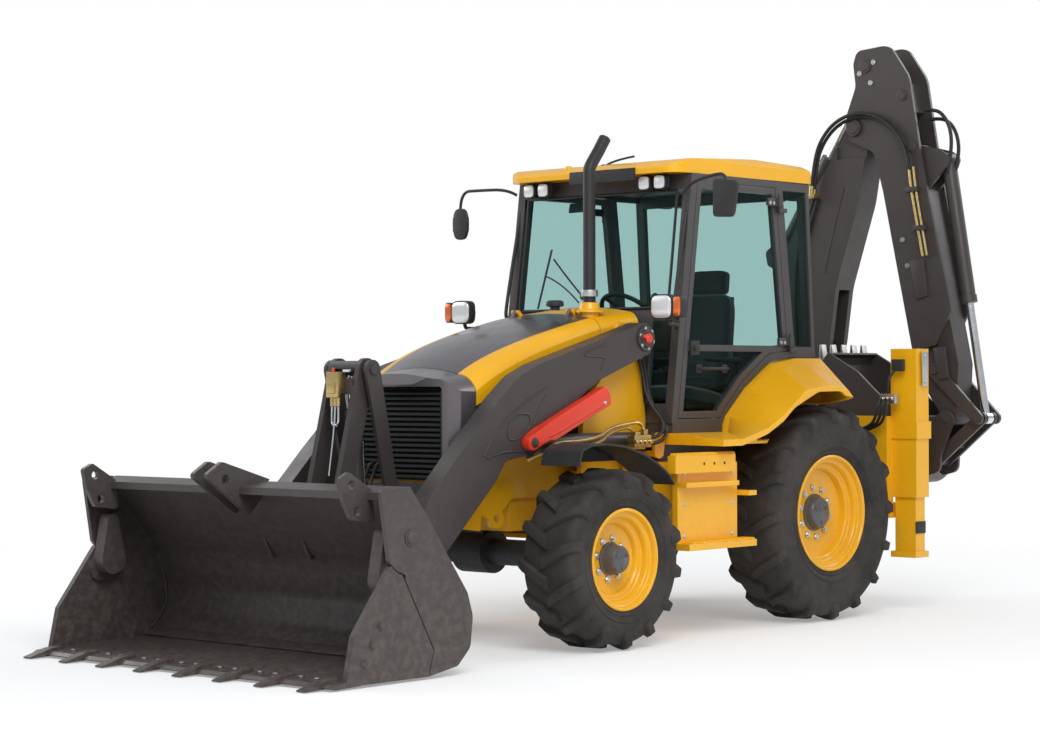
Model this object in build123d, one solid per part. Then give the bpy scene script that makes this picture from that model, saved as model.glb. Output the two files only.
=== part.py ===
from build123d import *
import math
import os

# Sizes in millimetres. While a piece is drawn, X points forward from the rear axle,
# Y to the machine's left and Z up from the ground. Every piece is then moved back by
# ORIGIN_X, so that the stored origin lies on the ground below the machine's middle.
ORIGIN_X = 1475

# Running gear
WHEELBASE = 2200
FRONT_RADIUS, FRONT_TYRE_WIDTH, FRONT_LIP, FRONT_LIP_RADIUS = 520, 400, 1144, 294
REAR_RADIUS, REAR_TYRE_WIDTH, REAR_LIP, REAR_LIP_RADIUS = 690, 430, 1034, 372
LIP_INSET = 16
RIM_WALL = 14
HUB_RADIUS = 112
STUB_RADIUS = 45
SHAFT_GAP = 0.1
MOVING_GAP = 6
SLIDE_GAP = 0.5
KINGPIN_Y = 690
KINGPIN_RADIUS = 28
KNUCKLE_RADIUS = 60
KNUCKLE_HALF_HEIGHT = 105
AXLE_TUBE_RADIUS = 78
REAR_TUBE_RADIUS = 105
REAR_HUB_FACE = 655

# Main frame
RAIL_INNER, RAIL_OUTER = 350, 380
FRAME_FRONT = WHEELBASE + 650
FRAME_REAR = -760
TOWER_INNER, TOWER_OUTER = 480, 515
NOSE_FRONT = WHEELBASE + 755

# Hood and cowl
HOOD_HALF = 470
HOOD_SKIN = 18
HOOD_REAR, HOOD_FRONT = 1630, 2715
HOOD_HINGE = (1625, 1972)
HOOD_HINGE_Y = (214, 240)
PANEL_GAP = 10
COWL_REAR = 1262
EXHAUST_X, EXHAUST_Y, EXHAUST_RADIUS = 1557, 324, 38
EXHAUST_FOOT = 1966

# Cab
CAB_HALF = 720
CAB_WALL = 40
TUB_HALF = CAB_HALF - 110
TUB_WALL = 20
FLOOR_Z = 1050
SILL_Z = 1280
CAB_TOP_Z = 2830
ROOF_HALF = CAB_HALF + 50
GLASS = 6
DOOR_GAP = 5
FENDER_OUTER = 1120
FENDER_SKIN = 18
DOOR_HINGE_FOOT = (30, 1725)
DOOR_HINGE_HEAD = (160, 2745)
DOOR_HINGE_Y = CAB_HALF + 24
HINGE_PIN_RADIUS = 9

# Loader
ARM_INNER, ARM_OUTER = 530, 655
ARM_PIVOT = (1420, 1800)
KNEE_PIN = (2480, 1180)
LIFT_BASE = (1300, 1180)
ARM_TIP = (3430, 365)
CROSS_TUBE = (2990, 810)
CROSS_TUBE_RADIUS = 60
LEVER_FOOT = (3105, 880)
APEX = (3265, 1610)
LINK_FOOT = (3540, 600)
TILT_BASE = (3230, 640)
LEVER_INNER, LEVER_OUTER = 150, 175
FORK_INNER, FORK_OUTER = 95, 130
PIN_RADIUS = 28
ARM_PIN_RADIUS = 38
LIFT_Y = 592
LIFT_BARREL_RADIUS = 52
LIFT_END_GAP = 50
TILT_BARREL_RADIUS = 48
EYE_WIDTH = 70
LIFT_CLOSED = 1180
TILT_CLOSED = 784

# Loader bucket, in two halves that open about the clam pin
BUCKET_HALF = 1225
BUCKET_PLATE = 25
CHEEK_PLATE = 35
CHEEK_INNER = BUCKET_HALF - CHEEK_PLATE
CLAM_ARM_PLATE = 24
CLAM_PIN = (4022, 738)
CLAM_PIN_RADIUS = 35
TOOTH_COUNT = 8
TOOTH_SPAN = 1124
TOOTH_TIP_X = 4700

# Rear frame, carriage and stabilizers
REAR_FRAME_X = (-960, -760)
LEG_X = (-950, -840)
LEG_Y = (960, 1120)
LEG_TOP, LEG_FOOT = 1705, 360
HOUSING_WALL = 14
HOUSING_TOP, HOUSING_FOOT = 1750, 760
CARRIAGE_Y = -450
SLEW_X = -1450
POST_RADIUS = 50

# Backhoe. Its plane stands across the machine at SLEW_X, so its points are (Y, Z).
BOOM_FOOT = (-150, 900)
BOOM_TIP = (310, 3312)
BOOM_HALF = 90
BOOM_CYLINDER_BASE = (-75, 760)
BOOM_CYLINDER_EYE = (-40, 2150)
BOOM_CLOSED = 1120
DIPPER_HALF = 125
DIPPER_PLATE = 25
DIPPER_HEAD = (400, 3740)
DIPPER_CYLINDER_BASE = (-430, 2420)
DIPPER_CLOSED = 885
DIPPER_BARREL_RADIUS = 52
DIPPER_MIDDLE = (800, 2500)
DIPPER_LEAN = 12
DIPPER_TOP_REACH, DIPPER_END_REACH = -700, 740
DIPPER_DEPTH = 350
EXTENSION_DEPTH, EXTENSION_HALF = 290, 92
EXTENSION_TOP_REACH = -650
CROWD_BASE = (1000, 3060)
LEVER_PIVOT = (955, 1606)
LEVER_EYE = (1290, 1281)
BUCKET_HINGE = (1050, 1292)
BUCKET_LINK_PIN = (930, 982)
CROWD_CLOSED = 1052
CROWD_BARREL_RADIUS = 50
EAR_INNER, EAR_OUTER = 100, 125
HOE_LINK_INNER, HOE_LINK_OUTER = 50, 75
HOE_BUCKET_HALF = 300
HOE_TOOTH_COUNT = 5


def side_plane(y):
    """Drawing plane seen from the machine's left: u is X and v is Z."""
    return Plane(origin=(0, y, 0), x_dir=(1, 0, 0), z_dir=(0, -1, 0))


def cross_plane(x):
    """Drawing plane across the machine: u is Y and v is Z."""
    return Plane(origin=(x, 0, 0), x_dir=(0, 1, 0), z_dir=(1, 0, 0))


def slab_y(face, y_low, y_high):
    return extrude(side_plane(y_high) * face, y_high - y_low)


def slab_x(face, x_low, x_high):
    return extrude(cross_plane(x_low) * face, x_high - x_low)


def slab_z(face, z_low, z_high):
    return extrude(Pos(0, 0, z_low) * face, z_high - z_low)


def profile(*corners):
    """Closed outline from rows (u, v) or (u, v, corner radius)."""
    starts, ends, edges = [], [], []
    count = len(corners)
    for index, row in enumerate(corners):
        corner = Vector(row[0], row[1])
        radius = row[2] if len(row) == 3 else 0
        if radius:
            back = (Vector(*corners[index - 1][:2]) - corner).normalized()
            ahead = (Vector(*corners[(index + 1) % count][:2]) - corner).normalized()
            half = math.radians(back.get_angle(ahead) / 2)
            reach = radius / math.tan(half)
            bulge = radius / math.sin(half) - radius
            start, end = corner + back * reach, corner + ahead * reach
            edges.append(ThreePointArc(start, corner + (back + ahead).normalized() * bulge, end))
        else:
            start = end = corner
        starts.append(start)
        ends.append(end)
    for index in range(count):
        if (starts[index] - ends[index - 1]).length > 0.01:
            edges.append(Line(ends[index - 1], starts[index]))
    return make_face(edges)


def disc(point, radius):
    return Pos(point[0], point[1]) * Circle(radius)


def bar_y(point, radius, y_low, y_high):
    return slab_y(disc(point, radius), y_low, y_high)


def bar_x(point, radius, x_low, x_high):
    return slab_x(disc(point, radius), x_low, x_high)


def bar_z(x, y, radius, z_low, z_high):
    return slab_z(disc((x, y), radius), z_low, z_high)


def block(x_low, x_high, y_low, y_high, z_low, z_high):
    size = (x_high - x_low, y_high - y_low, z_high - z_low)
    middle = ((x_low + x_high) / 2, (y_low + y_high) / 2, (z_low + z_high) / 2)
    return Pos(*middle) * Box(*size)


def link_shape(start, start_radius, end, end_radius):
    """Flat outline round two eyes with straight flanks between them."""
    run = Vector(end[0] - start[0], end[1] - start[1])
    heading = math.atan2(run.Y, run.X)
    spread = math.acos((start_radius - end_radius) / run.length)
    flank = []
    for point, radius, side in (
        (start, start_radius, 1), (end, end_radius, 1), (end, end_radius, -1), (start, start_radius, -1),
    ):
        angle = heading + side * spread
        flank.append((point[0] + radius * math.cos(angle), point[1] + radius * math.sin(angle)))
    return disc(start, start_radius) + profile(*flank) + disc(end, end_radius)


def both(shape):
    """The shape and its mirror image on the machine's other side."""
    return Compound([shape, mirror(shape, about=Plane.XZ)])


def between(start, end, share):
    return tuple(a + (b - a) * share for a, b in zip(start, end))


def rod_between(start, end, radius):
    """Round bar from one point in space to another."""
    run = Vector(*end) - Vector(*start)
    plane = Plane(origin=start, z_dir=run.normalized())
    return extrude(plane * Circle(radius), run.length)


def cylinder_pair(place, base, eye, closed, barrel_radius, rod_radius, eye_radius, width, pin_radius,
                  end_gap=MOVING_GAP):
    """Barrel and rod of one hydraulic cylinder. place turns (u, v) and an offset along the
    pins into space; base and eye are the pins at rest; closed is the shortest pin distance.
    The base eye is as wide as the barrel, and end_gap is left between it and the rod's eye."""
    base_point, eye_point = place(base, 0), place(eye, 0)
    along = (eye_point - base_point).normalized()
    pin_axis = (place(base, 1) - base_point).normalized()
    length = (eye_point - base_point).length
    frame = Plane(origin=base_point, x_dir=along, z_dir=pin_axis)
    barrel_end = closed - eye_radius - end_gap
    rod_start = length - closed + barrel_radius * 1.6
    base_eye = Cylinder(eye_radius, barrel_radius * 2)
    barrel = Rot(0, 90, 0) * Cylinder(
        barrel_radius, barrel_end - eye_radius * 0.6, align=(Align.CENTER, Align.CENTER, Align.MIN))
    barrel = Pos(eye_radius * 0.6, 0, 0) * barrel
    gland = Pos(barrel_end - barrel_radius, 0, 0) * Rot(0, 90, 0) * Cylinder(
        barrel_radius + 6, barrel_radius, align=(Align.CENTER, Align.CENTER, Align.MIN))
    barrel_bore = Pos(barrel_radius * 1.5, 0, 0) * Rot(0, 90, 0) * Cylinder(
        rod_radius + SHAFT_GAP, barrel_end, align=(Align.CENTER, Align.CENTER, Align.MIN))
    barrel = barrel + gland + base_eye - barrel_bore - Cylinder(pin_radius + SHAFT_GAP, barrel_radius * 4)
    rod = Pos(rod_start, 0, 0) * Rot(0, 90, 0) * Cylinder(
        rod_radius, length - rod_start, align=(Align.CENTER, Align.CENTER, Align.MIN))
    rod_eye = Pos(length, 0, 0) * (Cylinder(eye_radius, width) + Cylinder(pin_radius, width + 2))
    return frame * barrel, frame * (rod + rod_eye)


def loader_place(y):
    return lambda point, offset: Vector(point[0], y + offset, point[1])


def hoe_place(point, offset):
    return Vector(SLEW_X + offset, point[0], point[1])


def hoe_slab(face, low, high):
    """Solid across the backhoe's plane, between two offsets from it."""
    return slab_x(face, SLEW_X + low, SLEW_X + high)


def hoe_pair(face, inner, outer):
    """The same plate on both sides of the backhoe's plane."""
    return [hoe_slab(face, inner, outer), hoe_slab(face, -outer, -inner)]


def side_pair(face, inner, outer):
    """The same plate on both sides of the machine's plane."""
    return [slab_y(face, inner, outer), slab_y(face, -outer, -inner)]


def joined(pieces):
    result = pieces[0]
    for piece in pieces[1:]:
        result = result + piece
    return result


# Wheels and axles

def ring(rows):
    """Solid of revolution about Y from (radius, y) rows."""
    return revolve(profile(*rows), Axis.Y)


def tyre(radius, width, lip_radius, lip_half, lug_count):
    """Tyre with slanted lugs, staggered from side to side and fused to the carcass."""
    half = width / 2
    bead = lip_radius - LIP_INSET
    tread = radius - LUG_HEIGHT
    carcass = ring((
        (bead, -lip_half + 30), (lip_radius + 6, -lip_half + 8), (radius * 0.74, -half + 8),
        (radius * 0.86, -half + 8), (tread, -half * 0.72), (tread, half * 0.72),
        (radius * 0.86, half - 8), (radius * 0.74, half - 8), (lip_radius + 6, lip_half - 8),
        (bead, lip_half - 30),
    ))
    lugs = []
    first = math.degrees(math.asin(lug_reach(half) / radius))
    for index in range(lug_count):
        for side in (1, -1):
            turn = first + 360 * (index + (0.5 if side < 0 else 0)) / lug_count
            lugs.append(Rot(0, turn, 0) * lug(radius, half, side))
    return carcass + lugs


LUG_HEIGHT = 28
LUG_SLANT = 30
LUG_TOP, LUG_FOOT = 50, 70


def lug_reach(half):
    """How far a lug's top corners lie from its middle, round the wheel."""
    slant = math.radians(LUG_SLANT)
    return (half / 2 - 3) * math.tan(slant) + LUG_TOP / 2 / math.cos(slant)


def lug(radius, half, side):
    """One lug, a tapered bar that slants from the middle to a shoulder; its top's outer
    corners lie on the tyre's radius."""
    slant = math.radians(LUG_SLANT)
    run = Vector(math.sin(slant), side * math.cos(slant), 0)
    length = (half - 10) / math.cos(slant)
    start = Vector(-math.sin(slant) * length / 2, side * 6, 0)
    top = -math.sqrt(radius ** 2 - lug_reach(half) ** 2)
    face = profile((-LUG_FOOT / 2, -radius + 64), (-LUG_TOP / 2, top), (LUG_TOP / 2, top),
                   (LUG_FOOT / 2, -radius + 64))
    across = Vector(0, 0, 1).cross(run)
    bar = extrude(Plane(origin=start - run * 50, x_dir=across, z_dir=run) * face, length + 100)
    low, high = sorted((side * 5, side * (half - 2)))
    return bar & block(-400, 400, low, high, -radius, -radius + 64)


def rim(lip_radius, lip_half, dish, hub_end):
    """Rim barrel with its two lips, a dished disc and the hub that carries it. The outer
    face is towards +Y; dish is the disc's depth below the outer lip."""
    bead = lip_radius - LIP_INSET
    inner = bead - RIM_WALL
    barrel = ring((
        (lip_radius, lip_half), (lip_radius, lip_half - 10), (bead, lip_half - 28),
        (bead, -lip_half + 28), (lip_radius, -lip_half + 10), (lip_radius, -lip_half), (inner, -lip_half),
        (inner, lip_half),
    ))
    disc_y = lip_half - dish
    web = ring((
        (HUB_RADIUS - 10, disc_y + 26), (inner * 0.72, disc_y + 26, 20), (inner + 1, disc_y - 14),
        (inner + 1, disc_y - 30), (inner * 0.70, disc_y + 10, 20), (HUB_RADIUS - 10, disc_y + 10),
    ))
    hub = ring((
        (0, disc_y - 60), (HUB_RADIUS + 26, disc_y - 60), (HUB_RADIUS + 26, disc_y + 40),
        (HUB_RADIUS, disc_y + 40), (HUB_RADIUS - 8, hub_end, 14), (0, hub_end),
    ))
    stub_bore = Pos(0, disc_y - 60, 0) * Rot(-90, 0, 0) * Cylinder(
        STUB_RADIUS + SHAFT_GAP, 70, align=(Align.CENTER, Align.CENTER, Align.MIN))
    return barrel + web + hub - stub_bore


FRONT_LIP_HALF = FRONT_TYRE_WIDTH / 2 - 16
REAR_LIP_HALF = REAR_TYRE_WIDTH / 2 - 25
FRONT_TRACK_Y = FRONT_LIP - FRONT_LIP_HALF
REAR_TRACK_Y = REAR_LIP - REAR_LIP_HALF
FRONT_DISH, REAR_DISH = 150, 170


def wheels():
    """Tyre and rim of each wheel, the right ones mirrored from the left."""
    nodes = {}
    table = (
        # name, x, radius, tyre width, lip radius, lip half width, middle y, dish, hub end, lugs a side
        ("front", WHEELBASE, FRONT_RADIUS, FRONT_TYRE_WIDTH, FRONT_LIP_RADIUS, FRONT_LIP_HALF,
         FRONT_TRACK_Y, FRONT_DISH, FRONT_LIP_HALF - 25, 14),
        ("rear", 0, REAR_RADIUS, REAR_TYRE_WIDTH, REAR_LIP_RADIUS, REAR_LIP_HALF,
         REAR_TRACK_Y, REAR_DISH, REAR_LIP_HALF - 80, 16),
    )
    for name, x, radius, width, lip_radius, lip_half, middle, dish, hub_end, lug_count in table:
        place = Pos(x, middle, radius)
        left_tyre = place * tyre(radius, width, lip_radius, lip_half, lug_count)
        left_rim = place * rim(lip_radius, lip_half, dish, hub_end)
        nodes[name + "_tyre_left"] = left_tyre
        nodes[name + "_tyre_right"] = mirror(left_tyre, about=Plane.XZ)
        nodes[name + "_rim_left"] = left_rim
        nodes[name + "_rim_right"] = mirror(left_rim, about=Plane.XZ)
    return nodes


def axles():
    """Front axle with its king pin forks, and rear axle with its hub stubs."""
    front_z, rear_z = FRONT_RADIUS, REAR_RADIUS
    yoke_z = KNUCKLE_HALF_HEIGHT + MOVING_GAP
    beam = bar_y((WHEELBASE, front_z), AXLE_TUBE_RADIUS, -600, 600)
    beam += bar_y((WHEELBASE, front_z), 130, -120, 120)
    beam += block(WHEELBASE - 70, WHEELBASE + 70, -90, 90, front_z, 655)
    fork = block(WHEELBASE - 55, WHEELBASE + 55, 570, 610, front_z - yoke_z - 28, front_z + yoke_z + 28)
    for side in (1, -1):
        low = front_z + side * yoke_z - (0 if side > 0 else 28)
        fork += block(WHEELBASE - 55, WHEELBASE + 55, 600, KINGPIN_Y, low, low + 28)
        fork += bar_z(WHEELBASE, KINGPIN_Y, 55, low, low + 28)
        pin_low = front_z + (yoke_z - 40 if side > 0 else -yoke_z)
        fork += bar_z(WHEELBASE, KINGPIN_Y, KINGPIN_RADIUS, pin_low, pin_low + 40)
    beam += fork
    beam += mirror(fork, about=Plane.XZ)
    rear = bar_y((0, rear_z), REAR_TUBE_RADIUS, -640, 640) + bar_y((0, rear_z), 190, -150, 150)
    rear += block(-110, 110, -(RAIL_OUTER + 20), RAIL_OUTER + 20, rear_z, RAIL_NOTCH_Z)
    stub = bar_y((0, rear_z), 130, 600, REAR_HUB_FACE)
    stub += bar_y((0, rear_z), STUB_RADIUS, REAR_HUB_FACE, REAR_TRACK_Y + REAR_LIP_HALF - REAR_DISH)
    rear += stub
    rear += mirror(stub, about=Plane.XZ)
    return Compound([beam, rear])


def knuckle_left():
    """Steering knuckle: an upright barrel on the king pins with the wheel's stub axle."""
    z = FRONT_RADIUS
    disc_face = FRONT_TRACK_Y + FRONT_LIP_HALF - FRONT_DISH - 60
    body = bar_z(WHEELBASE, KINGPIN_Y, KNUCKLE_RADIUS, z - KNUCKLE_HALF_HEIGHT, z + KNUCKLE_HALF_HEIGHT)
    body += bar_y((WHEELBASE, z), 95, KINGPIN_Y, disc_face - MOVING_GAP)
    body += bar_y((WHEELBASE, z), STUB_RADIUS, KINGPIN_Y, disc_face + 60)
    arm = slab_z(link_shape((WHEELBASE, KINGPIN_Y), 45, (WHEELBASE - 170, KINGPIN_Y + 10), 28), z - 30, z + 10)
    body += arm
    bore = bar_z(WHEELBASE, KINGPIN_Y, KINGPIN_RADIUS + SHAFT_GAP, z + 64, z + 200)
    bore += bar_z(WHEELBASE, KINGPIN_Y, KINGPIN_RADIUS + SHAFT_GAP, z - 200, z - 64)
    return body - bore


# Frame, engine and front bodywork

RAIL_NOTCH_Z = 835
TIE_DOWN = (2460, 740)
TIE_DOWN_RADIUS = 25


def chassis():
    """Two side rails with their cross members and the towers that carry the loader arms."""
    rail = profile(
        (FRAME_FRONT, 700), (FRAME_FRONT, 1060), (2400, 1120), (1900, 1130), (1260, 1045), (300, 1045),
        (FRAME_REAR, 1045), (FRAME_REAR, 600), (-330, 600), (-250, RAIL_NOTCH_Z, 60), (250, RAIL_NOTCH_Z, 60),
        (340, 560), (1650, 560), (1850, 655), (1850, 850, 40), (TIE_DOWN[0] - 130, 850, 60),
        (TIE_DOWN[0] - 65, TIE_DOWN[1] + 50), (TIE_DOWN[0] + 65, TIE_DOWN[1]), (2590, 760), (2600, 672),
    )
    rail = rail + disc(TIE_DOWN, 62) - disc(TIE_DOWN, TIE_DOWN_RADIUS)
    pieces = side_pair(rail, RAIL_INNER, RAIL_OUTER)
    pieces.append(block(FRAME_FRONT - 60, FRAME_FRONT, -RAIL_OUTER, RAIL_OUTER, 690, 1040))
    cross_rear, cross_front = WHEELBASE - 120, WHEELBASE + 120
    pieces.append(block(cross_rear, cross_front, -RAIL_INNER, RAIL_INNER, 655, 760))
    for side in (1, -1):
        pieces.append(block(cross_rear, cross_front, *sorted((side * 262, side * RAIL_INNER)), 655, 900))
    pieces.append(block(600, 1640, -RAIL_INNER, RAIL_INNER, 562, 590))
    pieces.append(block(FRAME_REAR, FRAME_REAR + 40, -RAIL_OUTER, RAIL_OUTER, 610, 1040))
    for x in (-120, 1000):
        for side in (1, -1):
            pieces.append(block(x - 60, x + 60, *sorted((side * RAIL_INNER, side * RAIL_OUTER)), 1030, FLOOR_Z))
    tower = profile(
        (1252, 760), (1660, 760), (1860, 900), (1860, 1100), (1830, 1400), (1530, 1690), (ARM_PIVOT[0] + 95, 1900, 40),
        (ARM_PIVOT[0] - 95, 1900, 40), (1300, 1600), (1252, 1330),
    )
    pieces += side_pair(tower, TOWER_INNER, TOWER_OUTER)
    root = profile((1300, 760), (1800, 760), (1800, 1000), (1300, 1000))
    pieces += side_pair(root, RAIL_OUTER, TOWER_INNER)
    boss_end = ARM_INNER - MOVING_GAP
    for side in (1, -1):
        low, high = sorted((side * TOWER_OUTER, side * boss_end))
        pieces.append(bar_y(ARM_PIVOT, 80, low, high))
        low, high = sorted((side * TOWER_OUTER, side * (ARM_OUTER + 18)))
        pieces.append(bar_y(ARM_PIVOT, ARM_PIN_RADIUS, low, high))
        lug_inner = LIFT_Y + LIFT_BARREL_RADIUS + MOVING_GAP
        low, high = sorted((side * lug_inner, side * (lug_inner + 22)))
        pieces.append(slab_y(link_shape(LIFT_BASE, 46, (1310, 1110), 44), low, high))
        low, high = sorted((side * TOWER_OUTER, side * (lug_inner + 22)))
        pieces.append(bar_y(LIFT_BASE, PIN_RADIUS, low, high))
        pieces.append(block(1270, 1350, low, high, 1078, 1114))
    return joined(pieces)


def engine_block():
    body = block(1950, 2780, -260, 260, 790, 1480)
    for x in (2000, 2700):
        body += block(x - 30, x + 30, -RAIL_INNER, RAIL_INNER, 850, 900)
    return body


def nose():
    """Grey cap in front of the hood, bowed in plan, with the opening of the radiator screen."""
    shape = nose_form(0) - nose_form(NOSE_SKIN)
    opening = profile(
        (-GRILLE_HALF, GRILLE_Z[0], 20), (GRILLE_HALF, GRILLE_Z[0], 20), (GRILLE_HALF, GRILLE_Z[1], 20),
        (-GRILLE_HALF, GRILLE_Z[1], 20),
    )
    shape -= slab_x(opening, FRAME_FRONT + 10, NOSE_FRONT + 10)
    return shape + block(FRAME_FRONT, NOSE_FRONT - NOSE_SKIN + 5, -360, 360, 885, 950)


GRILLE_HALF = 378
GRILLE_Z = (960, 1512)
LOUVRE_COUNT = 17
LOUVRE_THICKNESS = 12


def grille():
    """Radiator screen: horizontal louvres between two side strips, in front of a back plate."""
    low, high = GRILLE_Z
    back_x, front_x = FRAME_FRONT + 2, FRAME_FRONT + 52
    pieces = [block(back_x, back_x + 10, -GRILLE_HALF, GRILLE_HALF, low + 12, high - 12)]
    pitch = (high - low - 40) / LOUVRE_COUNT
    for index in range(LOUVRE_COUNT):
        z = low + 20 + pitch * (index + 0.5)
        slat = profile(
            (back_x + 9, z + 8), (front_x - 8, z - LOUVRE_THICKNESS), (front_x - 8, z),
            (back_x + 9, z + 8 + LOUVRE_THICKNESS))
        pieces.append(slab_y(slat, -GRILLE_HALF + 26, GRILLE_HALF - 26))
    for side in (1, -1):
        low_y, high_y = sorted((side * (GRILLE_HALF - 28), side * GRILLE_HALF))
        pieces.append(block(back_x + 9, front_x, low_y, high_y, low + 25, high - 25))
    return joined(pieces)


# Sections of the bonnet line. Each row: X, shoulder height, half width at the shoulder,
# half width of the sides, crown above the shoulder, drop from the shoulder to the sides.
HOOD_SECTIONS = (
    (1630, 1927, 385, 470, 32, 72),
    (2070, 1826, 365, 469, 36, 80),
    (2325, 1753, 350, 467, 38, 86),
    (2570, 1661, 325, 464, 38, 94),
    (2715, 1586, 310, 461, 38, 100),
)
COWL_SECTIONS = (
    (1262, 1975, 385, 470, 32, 72),
    (1620, 1929, 385, 470, 32, 72),
)
NOSE_SECTIONS = (
    (2720, 1583, 310, 460, 38, 100),
    (2960, 1552, 330, 460, 30, 60),
)
NOSE_SKIN = 20


def bonnet_loft(sections, low, inset=0, stretch=0):
    """Loft through a table of bonnet sections, drawn inset, down to one level; stretch runs
    its two ends out along the machine."""
    faces = []
    for index, (x, shoulder, shoulder_half, side_half, crown, drop) in enumerate(sections):
        top, edge, side = shoulder - inset, shoulder_half - inset / 2, side_half - inset
        if index == 0:
            x -= stretch
        if index == len(sections) - 1:
            x += stretch
        bend = ((edge + side) / 2 + 0.13 * (side - edge), top - drop / 2 + 0.2 * drop)
        faces.append(cross_plane(x) * make_face([
            Line((-side, low), (-side, top - drop)),
            ThreePointArc((-side, top - drop), (-bend[0], bend[1]), (-edge, top)),
            ThreePointArc((-edge, top), (0, top + crown), (edge, top)),
            ThreePointArc((edge, top), bend, (side, top - drop)),
            Line((side, top - drop), (side, low)),
            Line((side, low), (-side, low)),
        ]))
    return loft(faces)


def nose_form(inset):
    """The nose cap as the crossing of its loft, its bowed plan and its side view, drawn inset."""
    front = NOSE_FRONT - inset
    rear = HOOD_FRONT + (-30 if inset else 5)
    plan = profile(
        (rear, 470), (rear, -470), (front - 120, -470, 60), (front - 40, -400 + inset, 60), (front, -180, 300),
        (front, 180, 300), (front - 40, 400 - inset, 60), (front - 120, 470, 60))
    side = profile(
        (rear, 860), (rear, 1700), (front - 50, 1700), (front - 30, 1590 - inset), (front, 1525 - inset),
        (front, 860))
    body = bonnet_loft(NOSE_SECTIONS, 860 if inset else 870, inset, 35 if inset else 0)
    return body & slab_z(plan, 850, 1700) & slab_y(side, -480, 480)


def hood():
    """Opening hood, 18 mm thick: its yellow flanks, and the centre strip between the shoulders."""
    shell = bonnet_loft(HOOD_SECTIONS, 1390) - bonnet_loft(HOOD_SECTIONS, 1380, HOOD_SKIN, 5)
    lower = profile((HOOD_REAR - 5, 1380), (HOOD_FRONT + 5, 1380), (HOOD_FRONT + 5, 1400),
                    (2500, 1500, 200), (2000, 1660, 300), (HOOD_REAR - 5, 1720))
    shell -= slab_y(lower, -600, 600)
    border = [(row[0], row[2]) for row in HOOD_SECTIONS]
    border[0] = (HOOD_REAR - 5, border[0][1])
    border[-1] = (HOOD_FRONT + 5, border[-1][1])
    strip = slab_z(profile(*border, *[(x, -half) for x, half in reversed(border)]), 1300, 2100)
    tab = link_shape(HOOD_HINGE, 14, (1670, 1912), 14) - disc(HOOD_HINGE, HINGE_PIN_RADIUS + SHAFT_GAP)
    return shell - strip, joined([shell & strip] + side_pair(tab, *HOOD_HINGE_Y))


def cowl():
    """Fixed rear part of the bonnet line, between the hood and the cab, with the exhaust's seat."""
    shell = bonnet_loft(COWL_SECTIONS, 1330) - bonnet_loft(COWL_SECTIONS, 1320, HOOD_SKIN, 5)
    seat = bar_z(EXHAUST_X, EXHAUST_Y, EXHAUST_RADIUS + 20, 1900, EXHAUST_FOOT)
    ear = link_shape(HOOD_HINGE, 14, (1585, 1935), 14)
    low, high = HOOD_HINGE_Y
    pieces = [shell, seat] + side_pair(ear, low - 14, low - 2) + side_pair(ear, high + 2, high + 14)
    pieces += side_pair(disc(HOOD_HINGE, HINGE_PIN_RADIUS), low - 14, high + 14)
    for x in (1400, 1540):
        for side in (1, -1):
            pieces.append(block(x - 30, x + 30, *sorted((side * (HOOD_HALF - 5), side * TOWER_INNER)), 1500, 1560))
    return joined(pieces)


def exhaust():
    """Upright stack with a base ring and a curved open tip."""
    foot = EXHAUST_FOOT
    path = FilletPolyline(
        (EXHAUST_X, EXHAUST_Y, foot), (EXHAUST_X, EXHAUST_Y, 2850), (EXHAUST_X - 90, EXHAUST_Y, 2960),
        (EXHAUST_X - 150, EXHAUST_Y, 3040), radius=90)
    section = Plane(origin=(EXHAUST_X, EXHAUST_Y, foot), z_dir=(0, 0, 1))
    pipe = sweep(section * Circle(EXHAUST_RADIUS), path=path)
    pipe -= rod_between((EXHAUST_X - 115, EXHAUST_Y, 2997), (EXHAUST_X - 160, EXHAUST_Y, 3056), EXHAUST_RADIUS - 5)
    collar = bar_z(EXHAUST_X, EXHAUST_Y, EXHAUST_RADIUS + 16, foot, foot + 50)
    return pipe + collar


# Cab

WALL_OUTLINE = (
    (1250, SILL_Z), (1040, CAB_TOP_Z), (-190, CAB_TOP_Z), (-262, 1690), (0, 1690), (237, 1670, 300),
    (504, 1500, 200), (713, 1320), (735, SILL_Z),
)
DOOR_OUTLINE = (
    (1190, SILL_Z + 25), (985, 2785), (172, 2785), (38, 1730), (250, 1712, 200), (528, 1535, 200),
    (738, 1345), (760, SILL_Z + 25),
)
QUARTER_WINDOW = ((95, 2770), (-160, 2770), (-222, 1760), (-32, 1760))
WINDSCREEN_Z = (1990, 2730)
REAR_WINDOW_Z = (1770, 2730)


def front_face_x(z):
    """X of the cab's leaning front face at a height."""
    return 1250 + (1040 - 1250) * (z - SILL_Z) / (CAB_TOP_Z - SILL_Z)


def rear_face_x(z):
    return -262 + (-190 + 262) * (z - 1690) / (CAB_TOP_Z - 1690)


def leaning_panel(face_x, z_low, z_high, depth_low, depth_high, half):
    """Panel across the cab that follows a leaning face, between two depths behind it."""
    shape = profile(
        (face_x(z_low) - depth_low, z_low), (face_x(z_high) - depth_low, z_high),
        (face_x(z_high) - depth_high, z_high), (face_x(z_low) - depth_high, z_low))
    return slab_y(shape, -half, half)


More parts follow.
